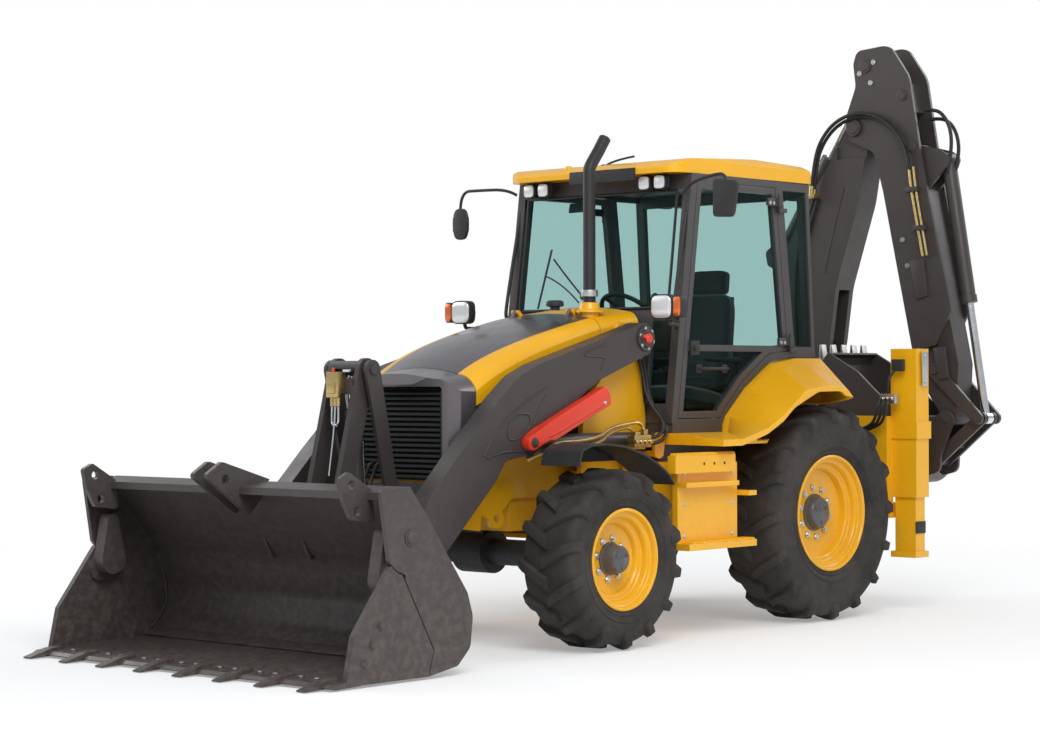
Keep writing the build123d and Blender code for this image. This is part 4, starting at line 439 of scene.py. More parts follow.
def dressed(name, mesh, finish, body, angle=32):
    """Turn a mesh into a finished piece that rides on a body."""
    for face in mesh.polygons:
        face.use_smooth = True
    mesh.set_sharp_from_angle(angle=math.radians(angle))
    mesh.materials.clear()
    mesh.materials.append(finishes[finish])
    piece = bpy.data.objects.new(name, mesh)
    bpy.context.collection.objects.link(piece)
    if body:
        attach(piece, body)
    return piece


class Form:
    """A piece under construction, in the machine's own coordinates."""

    def __init__(self):
        self.mesh = bmesh.new()

    def prism(self, outline, axis, low, high, bevel=0.004):
        """Outline in the two other axes, pulled along the named one from low to high."""
        def spot(a, b, c):
            return {"X": (c, a, b), "Y": (a, c, b), "Z": (a, b, c)}[axis]
        first = [self.mesh.verts.new(spot(a, b, low)) for a, b in outline]
        last = [self.mesh.verts.new(spot(a, b, high)) for a, b in outline]
        faces = [self.mesh.faces.new(first), self.mesh.faces.new(last[::-1])]
        for index in range(len(outline)):
            after = (index + 1) % len(outline)
            faces.append(self.mesh.faces.new((first[after], first[index], last[index], last[after])))
        if bevel:
            edges = list(dict.fromkeys(edge for face in faces for edge in face.edges))
            bmesh.ops.bevel(self.mesh, geom=edges, offset=bevel, segments=2, affect="EDGES", profile=0.6,
                            clamp_overlap=True)
        return self

    def box(self, x, y, z, bevel=0.004):
        corners = ((x[0], z[0]), (x[1], z[0]), (x[1], z[1]), (x[0], z[1]))
        return self.prism(corners, "Y", min(y), max(y), bevel)

    def lathe(self, rows, centre, axis=(0, 1, 0), sides=48):
        """Rows of radius and way along the axis; a radius of 0 closes the shape at a pole."""
        axis = Vector(axis).normalized()
        centre = Vector(centre)
        across = axis.orthogonal().normalized()
        other = axis.cross(across)
        rings = []
        for radius, way in rows:
            middle = centre + axis * way
            if radius < 1e-6:
                rings.append([self.mesh.verts.new(middle)])
                continue
            turns = [2 * math.pi * index / sides for index in range(sides)]
            rings.append([self.mesh.verts.new(middle + radius * (across * math.cos(a) + other * math.sin(a)))
                          for a in turns])
        pairs = list(zip(rings, rings[1:]))
        if rows[0][0] > 1e-6:
            pairs.append((rings[-1], rings[0]))
        for one, two in pairs:
            if len(one) == len(two) == 1:
                continue
            for index in range(sides):
                after = (index + 1) % sides
                corners = [one[index % len(one)], one[after % len(one)],
                           two[after % len(two)], two[index % len(two)]]
                self.mesh.faces.new(list(dict.fromkeys(corners)))
        return self

    def pin(self, centre, axis, radius, low, high, edge=0.004, sides=32):
        """Round bar along an axis with softened ends."""
        return self.lathe(((0, low), (radius - edge, low), (radius, low + edge), (radius, high - edge),
                           (radius - edge, high), (0, high)), centre, axis, sides)

    def tube(self, points, radius, rounds=3):
        """Round tube along a smooth line through the space near the points."""
        curve = bpy.data.curves.new("run", "CURVE")
        curve.dimensions = "3D"
        line = curve.splines.new("NURBS")
        line.points.add(len(points) - 1)
        for point, spot in zip(line.points, points):
            point.co = (*spot, 1)
        line.order_u = 3
        line.use_endpoint_u = True
        line.resolution_u = 8
        curve.bevel_depth = radius
        curve.bevel_resolution = rounds
        curve.use_fill_caps = True
        holder = bpy.data.objects.new("run", curve)
        run = bpy.data.meshes.new_from_object(holder)
        self.mesh.from_mesh(run)
        bpy.data.objects.remove(holder)
        bpy.data.meshes.remove(run)
        bpy.data.curves.remove(curve)
        return self

    def mixed(self, mesh):
        """Add a finished mesh."""
        self.mesh.from_mesh(mesh)
        return self

    def piece(self, name, finish, body, slot, angle=32):
        """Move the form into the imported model's frame and finish it."""
        bmesh.ops.translate(self.mesh, verts=self.mesh.verts, vec=(-MIDDLE_X, 0, 0))
        bmesh.ops.recalc_face_normals(self.mesh, faces=self.mesh.faces)
        mesh = bpy.data.meshes.new(name)
        self.mesh.to_mesh(mesh)
        self.mesh.free()
        return dressed(name, mesh, finish, body, angle)


class Tree:
    """Geometry node tree with named inputs, written from its output back."""

    def __init__(self, name, *inputs):
        self.tree = bpy.data.node_groups.new(name, "GeometryNodeTree")
        self.tree.interface.new_socket("Geometry", in_out="INPUT", socket_type="NodeSocketGeometry")
        for label, kind in inputs:
            self.tree.interface.new_socket(label, in_out="INPUT", socket_type="NodeSocket" + kind)
        self.tree.interface.new_socket("Finish", in_out="INPUT", socket_type="NodeSocketMaterial")
        self.tree.interface.new_socket("Geometry", in_out="OUTPUT", socket_type="NodeSocketGeometry")
        self.given = self.tree.nodes.new("NodeGroupInput").outputs

    def add(self, kind, sockets=(), **values):
        node = self.tree.nodes.new(kind)
        for key, value in values.items():
            setattr(node, key, value)
        for key, value in sockets:
            if isinstance(value, bpy.types.NodeSocket):
                self.tree.links.new(value, node.inputs[key])
            else:
                node.inputs[key].default_value = value
        return node.outputs[0]

    def close(self, instances):
        real = self.add("GeometryNodeRealizeInstances", (("Geometry", instances),))
        coloured = self.add("GeometryNodeSetMaterial", (
            ("Geometry", real), ("Material", self.given["Finish"])))
        self.tree.links.new(coloured, self.tree.nodes.new("NodeGroupOutput").inputs[0])
        return self.tree


def bolt_head_tree():
    """Hexagon heads on washers, one on each point of the start mesh."""
    tree = Tree("bolt_heads", ("Head", "Float"), ("Rise", "Float"), ("Washer", "Float"),
                ("Facing", "Vector"))
    given = tree.given
    head = tree.add("GeometryNodeMeshCylinder", (
        ("Vertices", 6), ("Radius", given["Head"]), ("Depth", given["Rise"])))
    thin = tree.add("ShaderNodeMath", ((0, given["Rise"]), (1, 0.4)), operation="MULTIPLY")
    washer = tree.add("GeometryNodeMeshCylinder", (
        ("Vertices", 18), ("Radius", given["Washer"]), ("Depth", thin)))
    both = tree.tree.nodes.new("GeometryNodeJoinGeometry")
    tree.tree.links.new(washer, both.inputs[0])
    tree.tree.links.new(head, both.inputs[0])
    turn = tree.add("FunctionNodeAlignRotationToVector", (("Vector", given["Facing"]),), axis="Z")
    return tree.close(tree.add("GeometryNodeInstanceOnPoints", (
        ("Points", given["Geometry"]), ("Instance", both.outputs[0]), ("Rotation", turn))))


def round_copy_tree():
    """Copies of the start mesh turned evenly about the Y axis, the first by Lead."""
    tree = Tree("round_copies", ("Count", "Int"), ("Lead", "Float"))
    given = tree.given
    spots = tree.add("GeometryNodeMeshLine", (("Count", given["Count"]), ("Offset", (0, 0, 0))))
    step = tree.add("ShaderNodeMath", ((0, 2 * math.pi), (1, given["Count"])), operation="DIVIDE")
    angle = tree.add("ShaderNodeMath", (
        (0, tree.add("GeometryNodeInputIndex")), (1, step), (2, given["Lead"])), operation="MULTIPLY_ADD")
    turn = tree.add("ShaderNodeCombineXYZ", (("Y", angle),))
    return tree.close(tree.add("GeometryNodeInstanceOnPoints", (
        ("Points", spots), ("Instance", given["Geometry"]), ("Rotation", turn))))


def row_copy_tree():
    """Copies of the start mesh in a straight row, one Step apart."""
    tree = Tree("row_copies", ("Count", "Int"), ("Step", "Vector"))
    given = tree.given
    spots = tree.add("GeometryNodeMeshLine", (("Count", given["Count"]), ("Offset", given["Step"])))
    return tree.close(tree.add("GeometryNodeInstanceOnPoints", (
        ("Points", spots), ("Instance", given["Geometry"]))))


BOLT_HEADS, ROUND_COPIES, ROW_COPIES = bolt_head_tree(), round_copy_tree(), row_copy_tree()


def grown(tree, start, finish, **values):
    """Plain mesh that a node tree grows from a start mesh."""
    holder = bpy.data.objects.new("start", start)
    bpy.context.collection.objects.link(holder)
    grow = holder.modifiers.new("grow", "NODES")
    grow.node_group = tree
    values["Finish"] = finishes[finish]
    for item in tree.interface.items_tree:
        if item.in_out == "INPUT" and item.name in values:
            grow[item.identifier] = values[item.name]
    graph = bpy.context.evaluated_depsgraph_get()
    result = bpy.data.meshes.new_from_object(holder.evaluated_get(graph), depsgraph=graph)
    holder.modifiers.remove(grow)
    bpy.data.objects.remove(holder)
    return result


def loose_points(spots):
    """Mesh of single points, one for each copy."""
    mesh = bpy.data.meshes.new("spots")
    mesh.from_pydata([tuple(spot) for spot in spots], [], [])
    return mesh


def bolts(name, spots, facing, head, finish, body, slot, rise=0.6, washer=1.45):
    """Bolt heads at the given spots, all facing one way; rise and washer are shares of head."""
    mesh = grown(BOLT_HEADS, loose_points(spots), finish, Head=head, Rise=2 * rise * head,
                 Washer=washer * head, Facing=facing)
    return Form().mixed(mesh).piece(name, finish, body, slot)


def row_of(form, count, step, finish):
    """Mesh with count copies of what the form holds."""
    start = bpy.data.meshes.new("one")
    form.mesh.to_mesh(start)
    form.mesh.free()
    return grown(ROW_COPIES, start, finish, Count=count, Step=step)


def circle_spots(centre, radius, count, lead=0.0):
    """Spots round a circle in a plane of constant Y."""
    x, y, z = centre
    turns = [lead + 2 * math.pi * index / count for index in range(count)]
    return [(x + radius * math.cos(a), y, z + radius * math.sin(a)) for a in turns]


SIDES = ((1, "left"), (-1, "right"))


# Wheels

# name and body, side, axle x and z, middle y, tyre radius and half width, lip radius and half
# width, how deep the disc lies, hub radius and reach, nut circle and count, lugs on a side
WHEELS = (
    ("front_left", 1, 2.2, 0.520, 0.960, 0.520, 0.200, 0.294, 0.184, 0.124, 0.082, 0.159, 0.120, 8, 14),
    ("front_right", -1, 2.2, 0.520, 0.960, 0.520, 0.200, 0.294, 0.184, 0.124, 0.082, 0.159, 0.120, 8, 14),
    ("rear_left", 1, 0.0, 0.690, 0.844, 0.690, 0.215, 0.372, 0.190, 0.144, 0.105, 0.110, 0.160, 10, 16),
    ("rear_right", -1, 0.0, 0.690, 0.844, 0.690, 0.215, 0.372, 0.190, 0.144, 0.105, 0.110, 0.160, 10, 16),
)


LUG_HEIGHT = 0.031


def tyre_lug(radius, half, side):
    """One tread bar from the shoulder to past the middle, with softened top edges."""
    lug = bmesh.new()
    base = radius - LUG_HEIGHT
    # way in from the side, radius, outward direction (y, r), height
    stations = (
        (0.001, base - 0.080, 1.0, 0.0, 0.004), (0.002, base - 0.045, 0.96, 0.28, 0.015),
        (0.014, base - 0.014, 0.72, 0.70, 0.025), (0.050, base, 0.12, 0.99, 0.030),
        (0.110, base, 0.0, 1.0, 0.031), (half + 0.012, base, 0.0, 1.0, 0.031))
    foot, top, lead = 0.037, 0.026, 0.215 * half / radius / 0.38
    rings = []
    for way_in, r, out_y, out_r, height in stations:
        y = half - way_in
        turn = lead * way_in / half
        ring = []
        for reach, spread in ((-0.008, foot), (height, top), (height, -top), (-0.008, -foot)):
            rr, yy, along = r + out_r * reach, y + out_y * reach, spread
            a = turn + along / r
            ring.append(lug.verts.new((rr * math.sin(a), side * yy, rr * math.cos(a))))
        rings.append(ring)
    for one, two in zip(rings, rings[1:]):
        for k in range(4):
            lug.faces.new((one[k], one[(k + 1) % 4], two[(k + 1) % 4], two[k]))
    lug.faces.new(rings[0][::-1])
    lug.faces.new(rings[-1])
    bmesh.ops.recalc_face_normals(lug, faces=lug.faces)
    tops = {vert for ring in rings for vert in ring[1:3]}
    across = [set(ring[1:3]) for ring in rings[1:5]]
    edges = [edge for edge in lug.edges if set(edge.verts) <= tops and set(edge.verts) not in across]
    bmesh.ops.bevel(lug, geom=edges, offset=0.006, segments=2, affect="EDGES", profile=0.6,
                    clamp_overlap=True)
    mesh = bpy.data.meshes.new("lug")
    lug.to_mesh(mesh)
    lug.free()
    return mesh


def tyre_mesh(radius, half, lip, lip_half, lugs):
    """Carcass with ringed side walls and two rows of tread bars, about the origin."""
    form = Form()
    tread = radius - LUG_HEIGHT
    outer = [
        (lip - 0.012, lip_half - 0.024), (lip + 0.004, lip_half - 0.006), (lip + 0.016, lip_half - 0.001),
        (lip + 0.019, lip_half + 0.004), (lip + 0.028, lip_half + 0.005), (lip + 0.031, lip_half + 0.002),
        (lip + 0.055, half - 0.008), (lip + 0.058, half - 0.003), (lip + 0.066, half - 0.002),
        (lip + 0.070, half - 0.006), (tread - 0.095, half - 0.001), (tread - 0.060, half - 0.003),
        (tread - 0.028, half - 0.014), (tread - 0.008, half - 0.035), (tread, half - 0.070), (tread, 0.03)]
    rows = outer + [(r, -y) for r, y in outer[::-1]]
    form.lathe(rows, (0, 0, 0), (0, 1, 0), 72)
    for side, lead in ((1, 0.0), (-1, math.pi / lugs)):
        form.mixed(grown(ROUND_COPIES, tyre_lug(radius, half, side), "tyre_rubber", Count=lugs, Lead=lead))
    return form


def rim_rows(lip, lip_half, disc, hub):
    """Section of a rim: rolled lip, three steps down to the disc, and the plain inner side."""
    return (
        (lip - 0.004, lip_half - 0.014), (lip, lip_half - 0.009), (lip + 0.001, lip_half - 0.002),
        (lip - 0.006, lip_half + 0.003), (lip - 0.016, lip_half + 0.001), (lip - 0.022, lip_half - 0.008),
        (lip - 0.025, lip_half - 0.030), (lip - 0.032, lip_half - 0.036), (lip - 0.048, lip_half - 0.038),
        (lip - 0.054, lip_half - 0.046), (lip - 0.057, lip_half - 0.076), (lip - 0.064, lip_half - 0.083),
        (lip - 0.082, lip_half - 0.086), (lip - 0.090, lip_half - 0.094), (lip - 0.096, disc + 0.006),
        (lip - 0.108, disc), (hub + 0.012, disc + 0.002), (hub + 0.006, disc - 0.02),
        (lip - 0.11, disc - 0.014), (lip - 0.040, disc - 0.040), (lip - 0.036, 0.02 - lip_half),
        (lip - 0.010, 0.004 - lip_half),
        (lip, 0.002 - lip_half), (lip, 0.012 - lip_half), (lip - 0.016, 0.035 - lip_half),
        (lip - 0.018, lip_half - 0.040))


def wheels():
    for row in WHEELS:
        tag, side, x, z, middle, radius, half, lip, lip_half, dish, hub, reach, circle, nuts, lugs = row
        end, hand = tag.split("_")
        body = f"{end}_wheel_{hand}"
        centre = (x, side * middle, z)
        out = (0, side, 0)
        disc = lip_half - dish
        form = tyre_mesh(radius, half, lip, lip_half, lugs)
        bmesh.ops.translate(form.mesh, verts=form.mesh.verts, vec=centre)
        tyre = form.piece(f"tyre_{tag}", "tyre_rubber", body, "tyre", 38)
        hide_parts(f"{end}_tyre_{hand}")
        rim = Form().lathe(rim_rows(lip, lip_half, disc, hub), centre, out, 64)
        valve_reach = (lip - 0.07) * 0.7
        rim.pin((x + valve_reach, side * (middle + lip_half - 0.085), z + valve_reach), out, 0.006, 0, 0.035,
                0.002, 12)
        rim = rim.piece(f"rim_{tag}", "machine_yellow", body, "yellow_body")
        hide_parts(f"{end}_rim_{hand}")
        hub_rows = (
            (0, disc - 0.05), (hub + 0.012, disc - 0.05), (hub + 0.014, disc + 0.012),
            (hub + 0.004, disc + 0.016), (hub, disc + 0.024), (hub - 0.003, reach - 0.020),
            (hub - 0.012, reach - 0.006), (hub - 0.028, reach), (0.030, reach), (0.026, reach + 0.002),
            (0, reach + 0.003))
        Form().lathe(hub_rows, centre, out, 48).piece(f"hub_{tag}", "hub_grey", body, "axle_grey")
        face = (x, side * (middle + disc + 0.004), z)
        bolts(f"wheel_nuts_{tag}", circle_spots(face, circle, nuts, 0.2), out, 0.014, "zinc", body,
              "axle_grey", 1.2)
        face = (x, side * (middle + reach + 0.001), z)
        bolts(f"hub_bolts_{tag}", circle_spots(face, hub * 0.60, 3, 0.5), out, 0.009, "hub_grey", body,
              "axle_grey")


# Cab

# the windscreen leans: X of its outer face at its sill, the sill's height, and its lean as a slope
SCREEN_FOOT_X, SCREEN_FOOT_Z = 1.250, 1.280
SCREEN_LEAN = (0.210, 1.550)


def on_windscreen(y, z, off=0.0):
    """Spot on the windscreen's outer face, or off in front of it."""
    return (SCREEN_FOOT_X - SCREEN_LEAN[0] * (z - SCREEN_FOOT_Z) / SCREEN_LEAN[1] + off, y, z)


def soft_outline(y, z, wide, high, roundness=0.5, corners=24):
    """Outline in Y and Z between an ellipse (roundness 1) and a rectangle (0)."""
    outline = []
    for index in range(corners):
        a = 2 * math.pi * index / corners
        outline.append((y + wide * math.copysign(abs(math.cos(a)) ** roundness, math.cos(a)),
                        z + high * math.copysign(abs(math.sin(a)) ** roundness, math.sin(a))))
    return outline


LAMP_DEPTH = 0.055
# share of the lens's width at each ring, and how far the ring stands proud
LENS_RINGS = ((0.90, -0.004), (0.90, 0.001), (0.86, 0.006), (0.6, 0.010), (0.3, 0.012))


def lamp(name, centre, half, facing, lens_name):
    """Lamp with a rounded case, a bezel and a domed lens; facing is +1 forwards or -1 back."""
    x, y, z = centre
    wide, high = half
    back = x - facing * LAMP_DEPTH
    form = Form().prism(soft_outline(y, z, wide, high), "X", *sorted((x, back)), 0.006)
    socket = [(y + a * wide * 0.55, z + b * high * 0.55) for a, b in ((-1, -1), (1, -1), (1, 1), (-1, 1))]
    form.prism(socket, "X", *sorted((back, x - facing * LAMP_DEPTH * 1.5)), 0.01)
    case = form.piece(f"{name}_case", "plastic_black", "machine", "lamp_case")
    form = Form()
    rings = []
    for share, proud in LENS_RINGS:
        outline = soft_outline(y, z, share * wide, share * high)
        rings.append([form.mesh.verts.new((x + facing * proud, *spot)) for spot in outline])
    for one, two in zip(rings, rings[1:]):
        for k in range(len(one)):
            after = (k + 1) % len(one)
            form.mesh.faces.new((one[k], one[after], two[after], two[k]))
    form.mesh.faces.new(rings[-1])
    form.mesh.faces.new(rings[0][::-1])
    form.piece(f"{name}_lens", lens_name, "machine", "lamp_case", 50)
    return case


def lamps():
    """Head, turn and work lamps with their brackets and yokes."""
    for side, tag in SIDES:
        lamp(f"headlamp_{tag}", (1.490, side * 0.835, 1.988), (0.084, 0.076), 1, "lens_clear")
        lamp(f"turn_lamp_{tag}", (1.484, side * 0.950, 1.988), (0.030, 0.066), 1, "lens_amber")
        bracket = Form().tube(((1.440, side * 0.845, 1.93), (1.440, side * 0.845, 1.885),
                               (1.40, side * 0.83, 1.885), (1.184, side * 0.715, 1.885)), 0.012)
        bracket.box((1.170, 1.186), (side * 0.690, side * 0.722), (1.860, 1.912), 0.003)
        bracket.piece(f"headlamp_bracket_{tag}", "plastic_black", "machine", "lamp_case")
        for index, y in enumerate((0.422, 0.545)):
            lamp(f"work_lamp_{tag}_{index}", (1.146, side * y, 2.776), (0.045, 0.045), 1,
                              "lens_clear")
            lamp(f"rear_lamp_{tag}_{index}", (-0.300, side * y, 2.776), (0.045, 0.045), -1,
                              "lens_clear")
            yoke = Form()
            for x in (1.118, -0.262):
                yoke.tube(((x, side * y - 0.052, 2.776), (x, side * y - 0.052, 2.824), (x, side * y, 2.828),
                           (x, side * y + 0.052, 2.824), (x, side * y + 0.052, 2.776)), 0.005, 2)
            yoke.piece(f"lamp_yokes_{tag}_{index}", "plastic_black", "machine", "lamp_case")
    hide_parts("lamps")


def mirrors():
    """Square mirror on the left and an oval one on the right, each on its bent arm."""
    left = Form().prism(((0.962, 2.752), (0.985, 2.772), (1.135, 2.756), (1.150, 2.735), (1.118, 2.552),
                         (1.098, 2.534), (0.975, 2.540), (0.962, 2.560)), "X", 1.118, 1.150, 0.010)
    left.tube(((1.100, 0.705, 2.700), (1.125, 0.760, 2.760), (1.130, 0.960, 2.800), (1.130, 1.050, 2.800),
               (1.130, 1.058, 2.740)), 0.010)
    shell = left.piece("mirror_left", "plastic_black", "machine", "black_plastic")
    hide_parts("mirrors")
    glass = ((0.975, 2.742), (1.132, 2.738), (1.102, 2.552), (0.978, 2.556))
    Form().prism(glass, "X", 1.114, 1.119, 0.001).piece(
        "mirror_left_glass", "mirror_glass", "machine", "glass")
    middle_y, middle_z = -1.165, 2.590
    oval = soft_outline(middle_y, middle_z, 0.062, 0.105, 0.7)
    right = Form().prism(oval, "X", 1.122, 1.152, 0.010)
    right.tube(((1.090, -0.700, 2.760), (1.135, -0.740, 2.800), (1.140, -1.000, 2.806),
                (1.140, -1.160, 2.806), (1.140, -1.166, 2.690)), 0.010)
    right.piece("mirror_right", "plastic_black", "machine", "black_plastic")
    glass = [(middle_y + (y - middle_y) * 0.88, middle_z + (z - middle_z) * 0.92) for y, z in oval]
    Form().prism(glass, "X", 1.118, 1.124, 0.001).piece("mirror_right_glass", "mirror_glass", "machine",
                                                        "glass")


def pillow(half, crown, channels):
    """Closed cushion about the origin: crowned on top, pulled in between its corners, with
    sewn channels across its width at the given shares."""
    cube = bmesh.new()
    bmesh.ops.create_cube(cube, size=2)
    bmesh.ops.subdivide_edges(cube, edges=cube.edges, cuts=19, use_grid_fill=True)
    for vert in cube.verts:
        u, v, w = vert.co
        n = 5.0
        shrink = (abs(u) ** n + abs(v) ** n + abs(w) ** n) ** (-1 / n)
        u, v, w = u * shrink, v * shrink, w * shrink
        u, v = u * (1 - 0.035 * (1 - v * v)), v * (1 - 0.035 * (1 - u * u))
        rise = crown * (1 - u * u) * (1 - v * v) if w > 0 else 0
        dip = sum(math.exp(-((v - c) / 0.035) ** 2) for c in channels) * 0.010 if w > 0 else 0
        dip += math.exp(-((abs(u) - 0.90) / 0.03) ** 2) * 0.004
        vert.co = (u * half[0], v * half[1], w * half[2] + rise - dip)
    mesh = bpy.data.meshes.new("pillow")
    cube.to_mesh(mesh)
    cube.free()
    return mesh


def seat():
    """Driver's place: padded cushion, back and head pad on a sprung pedestal."""
    pads = (("seat_cushion", (0.235, 0.235, 0.055), 0.018, (-0.45, 0.45), (0.250, 0, 1.430), 8),
            ("seat_back", (0.330, 0.225, 0.050), 0.020, (-0.45, 0.45), (-0.010, 0, 1.800), 96),
            ("seat_head_pad", (0.085, 0.150, 0.040), 0.010, (), (-0.070, 0, 2.195), 96))
    for name, half, crown, channels, centre, lean in pads:
        mesh = pillow(half, crown, channels)
        turn = Matrix.Rotation(math.radians(-lean), 4, "Y")
        mesh.transform(Matrix.Translation(centre) @ turn)
        piece = Form().mixed(mesh).piece(name, "seat_cloth", "machine", "seat_fabric", 60)
    pedestal = Form()
    pedestal.prism(((0.060, 1.190), (0.360, 1.190), (0.330, 1.290), (0.090, 1.290)), "Y", -0.150, 0.150,
                   0.010)
    for level in range(5):
        z = 1.290 + 0.016 * level
        pedestal.box((0.075 + 0.008 * (level % 2), 0.345 - 0.008 * (level % 2)), (-0.14, 0.14),
                     (z, z + 0.015), 0.004)
    pedestal.prism(((0.030, 1.372), (0.440, 1.360), (0.440, 1.392), (0.030, 1.400)), "Y", -0.20, 0.20, 0.008)
    pedestal.prism(((-0.020, 1.390), (0.010, 1.390), (-0.075, 2.100), (-0.105, 2.100)), "Y", -0.18, 0.18,
                   0.010)
    for side in (1, -1):
        pedestal.tube(((-0.02, side * 0.24, 1.560), (-0.02, side * 0.285, 1.580),
                       (0.02, side * 0.285, 1.660)), 0.014)
        pedestal.prism(((0.000, 1.655), (0.320, 1.665), (0.330, 1.690), (0.000, 1.695)), "Y",
                       side * 0.285 - 0.03,
                         side * 0.285 + 0.03, 0.012)
    base = pedestal.piece("seat_frame", "plastic_black", "machine", "black_plastic")
    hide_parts("driver_seat")


def cab_fittings():
    """Rails, door handles and locks, wiper, inner mirror, aerial and the driver's levers."""
    for side, tag in SIDES:
        rail = Form().tube(((1.150, side * 0.700, 1.925), (1.205, side * 0.702, 1.935),
                            (1.190, side * 0.701, 2.06),
                            (1.062, side * 0.698, 2.62), (1.050, side * 0.698, 2.665),
                            (1.000, side * 0.698, 2.690)),
                           0.012)
        rail.piece(f"grab_rail_{tag}", "plastic_black", "machine", "black_plastic")
        handle = Form().tube(((0.985, side * 0.722, 1.616), (0.980, side * 0.762, 1.616),
                              (0.930, side * 0.766, 1.616),
                              (0.780, side * 0.766, 1.616), (0.725, side * 0.762, 1.616),
                              (0.722, side * 0.722, 1.616)), 0.011)
        handle.box((0.955, 1.010), (side * 0.719, side * 0.728), (1.590, 1.642), 0.003)
        handle.box((0.700, 0.750), (side * 0.719, side * 0.728), (1.590, 1.642), 0.003)
        handle.piece(f"door_handle_{tag}", "plastic_black", f"door_{tag}", "black_plastic")
        lock = Form().box((0.990, 1.075), (side * 0.718, side * 0.738), (1.700, 1.790), 0.006)
        lock.pin((1.034, side * 0.72, 1.745), (0, side, 0), 0.018, 0.0, 0.030)
        lock.piece(f"door_lock_{tag}", "plastic_black", f"door_{tag}", "black_plastic")
    wiper = Form().tube((on_windscreen(-0.444, 2.008, 0.022), on_windscreen(-0.406, 2.200, 0.022),
                         on_windscreen(-0.368, 2.391, 0.022)), 0.007)
    wiper.tube((on_windscreen(-0.072, 2.079, 0.020), on_windscreen(-0.20, 2.20, 0.038),
                on_windscreen(-0.336, 2.326, 0.030)), 0.006)
    wiper.tube((on_windscreen(-0.10, 2.04, 0.020), on_windscreen(-0.24, 2.17, 0.034),
                on_windscreen(-0.400, 2.22, 0.028)), 0.005)
    wiper.pin(on_windscreen(-0.072, 2.075, -0.01), (1, 0, 0.14), 0.022, 0.0, 0.035)
    wiper.piece("wiper", "plastic_black", "machine", "black_plastic")
    inner = Form().prism(((-0.330, 2.630), (-0.318, 2.690), (-0.160, 2.694), (-0.148, 2.634)), "X", 0.985,
                         1.005, 0.008)
    inner.tube(((0.990, -0.238, 2.690), (1.000, -0.238, 2.740), (1.030, -0.238, 2.790)), 0.008)
    inner.piece("inner_mirror", "plastic_black", "machine", "black_plastic")
    blank = Form().prism(((-0.150, 2.792), (0.390, 2.792), (0.390, 2.872), (-0.150, 2.872)), "X", 1.186,
                         1.200, 0.006)
    blank.piece("visor_plate", "plastic_black", "machine", "black_plastic")
    aerial = Form().tube(((1.060, 0.020, 2.905), (1.040, 0.070, 2.945), (1.020, 0.240, 2.962)), 0.007)
    aerial.lathe(((0.024, 0.0), (0.022, 0.012), (0.010, 0.022), (0, 0.022)), (1.060, 0.020, 2.900),
                 (0, 0, 1), 20)
    aerial.piece("roof_aerial", "plastic_black", "machine", "black_plastic")
    nubs = Form()
    for x, y, z in ((1.090, -0.247, 2.900), (1.090, 0.640, 2.868), (-0.160, 0.560, 2.905),
                    (-0.160, -0.560, 2.905)):
        nubs.lathe(((0, -0.02), (0.030, -0.02), (0.028, 0.012), (0.016, 0.024), (0, 0.026)), (x, y, z),
                   (0, 0, 1), 24)
    nubs.piece("roof_lifting_plugs", "machine_yellow", "machine", "yellow_body")
    # levers beside the driver and at the rear console
    levers = Form()
    levers.prism(((-0.160, 1.190), (0.020, 1.190), (0.000, 1.600), (-0.150, 1.640)), "Y", -0.47, -0.34,
                 0.012)
    levers.prism(((0.420, 1.190), (0.640, 1.190), (0.600, 1.560), (0.440, 1.580)), "Y", -0.46, -0.36, 0.012)
    for x, y, z, lean in ((-0.060, -0.40, 1.62, -0.05), (-0.110, -0.37, 1.62, -0.04),
                          (0.520, -0.41, 1.56, 0.06), (0.570, -0.38, 1.56, 0.05)):
        levers.tube(((x, y, z - 0.03), (x + lean * 0.3, y, z + 0.12), (x + lean, y, z + 0.26)), 0.007)
        levers.lathe(((0, -0.03), (0.018, -0.025), (0.024, 0.0), (0.020, 0.026), (0, 0.034)),
                     (x + lean, y, z + 0.28), (0, 0, 1), 20)
    levers.piece("control_levers", "plastic_black", "machine", "black_plastic")
    stalk = Form().tube(((0.845, 0.03, 1.93), (0.85, 0.12, 1.99), (0.86, 0.20, 2.02)), 0.006)
    stalk.lathe(((0, -0.012), (0.012, -0.008), (0.012, 0.012), (0, 0.016)), (0.86, 0.20, 2.025),
                (0, 0.8, 0.4), 16)
    stalk.lathe(((0, 0), (0.022, 0.004), (0.026, 0.03), (0.018, 0.05), (0, 0.054)), (0.70, 0.13, 2.06),
                (-0.66, 0, 0.75), 20)
    stalk.piece("column_stalk", "plastic_black", "machine", "black_plastic")


def window_rubber():
    """Black rubber bead round the windscreen."""
    bead = Form()
    corners = ((-0.62, 1.995), (-0.62, 2.725), (0.62, 2.725), (0.62, 1.995), (-0.62, 1.995))
    for one, two in zip(corners, corners[1:]):
        bead.tube((on_windscreen(*one, 0.004),
                   on_windscreen((one[0] + two[0]) / 2, (one[1] + two[1]) / 2, 0.004),
                   on_windscreen(*two, 0.004)), 0.009, 2)
    bead.piece("windscreen_rubber", "hose_black", "machine", "black_plastic")


# Loader

# pins of the loader arm as (X, Z), and how far out its side plate stands
ARM_PIVOT, KNEE, ARM_TIP = (1.420, 1.800), (2.480, 1.180), (3.430, 0.365)
ARM_FACE = 0.655

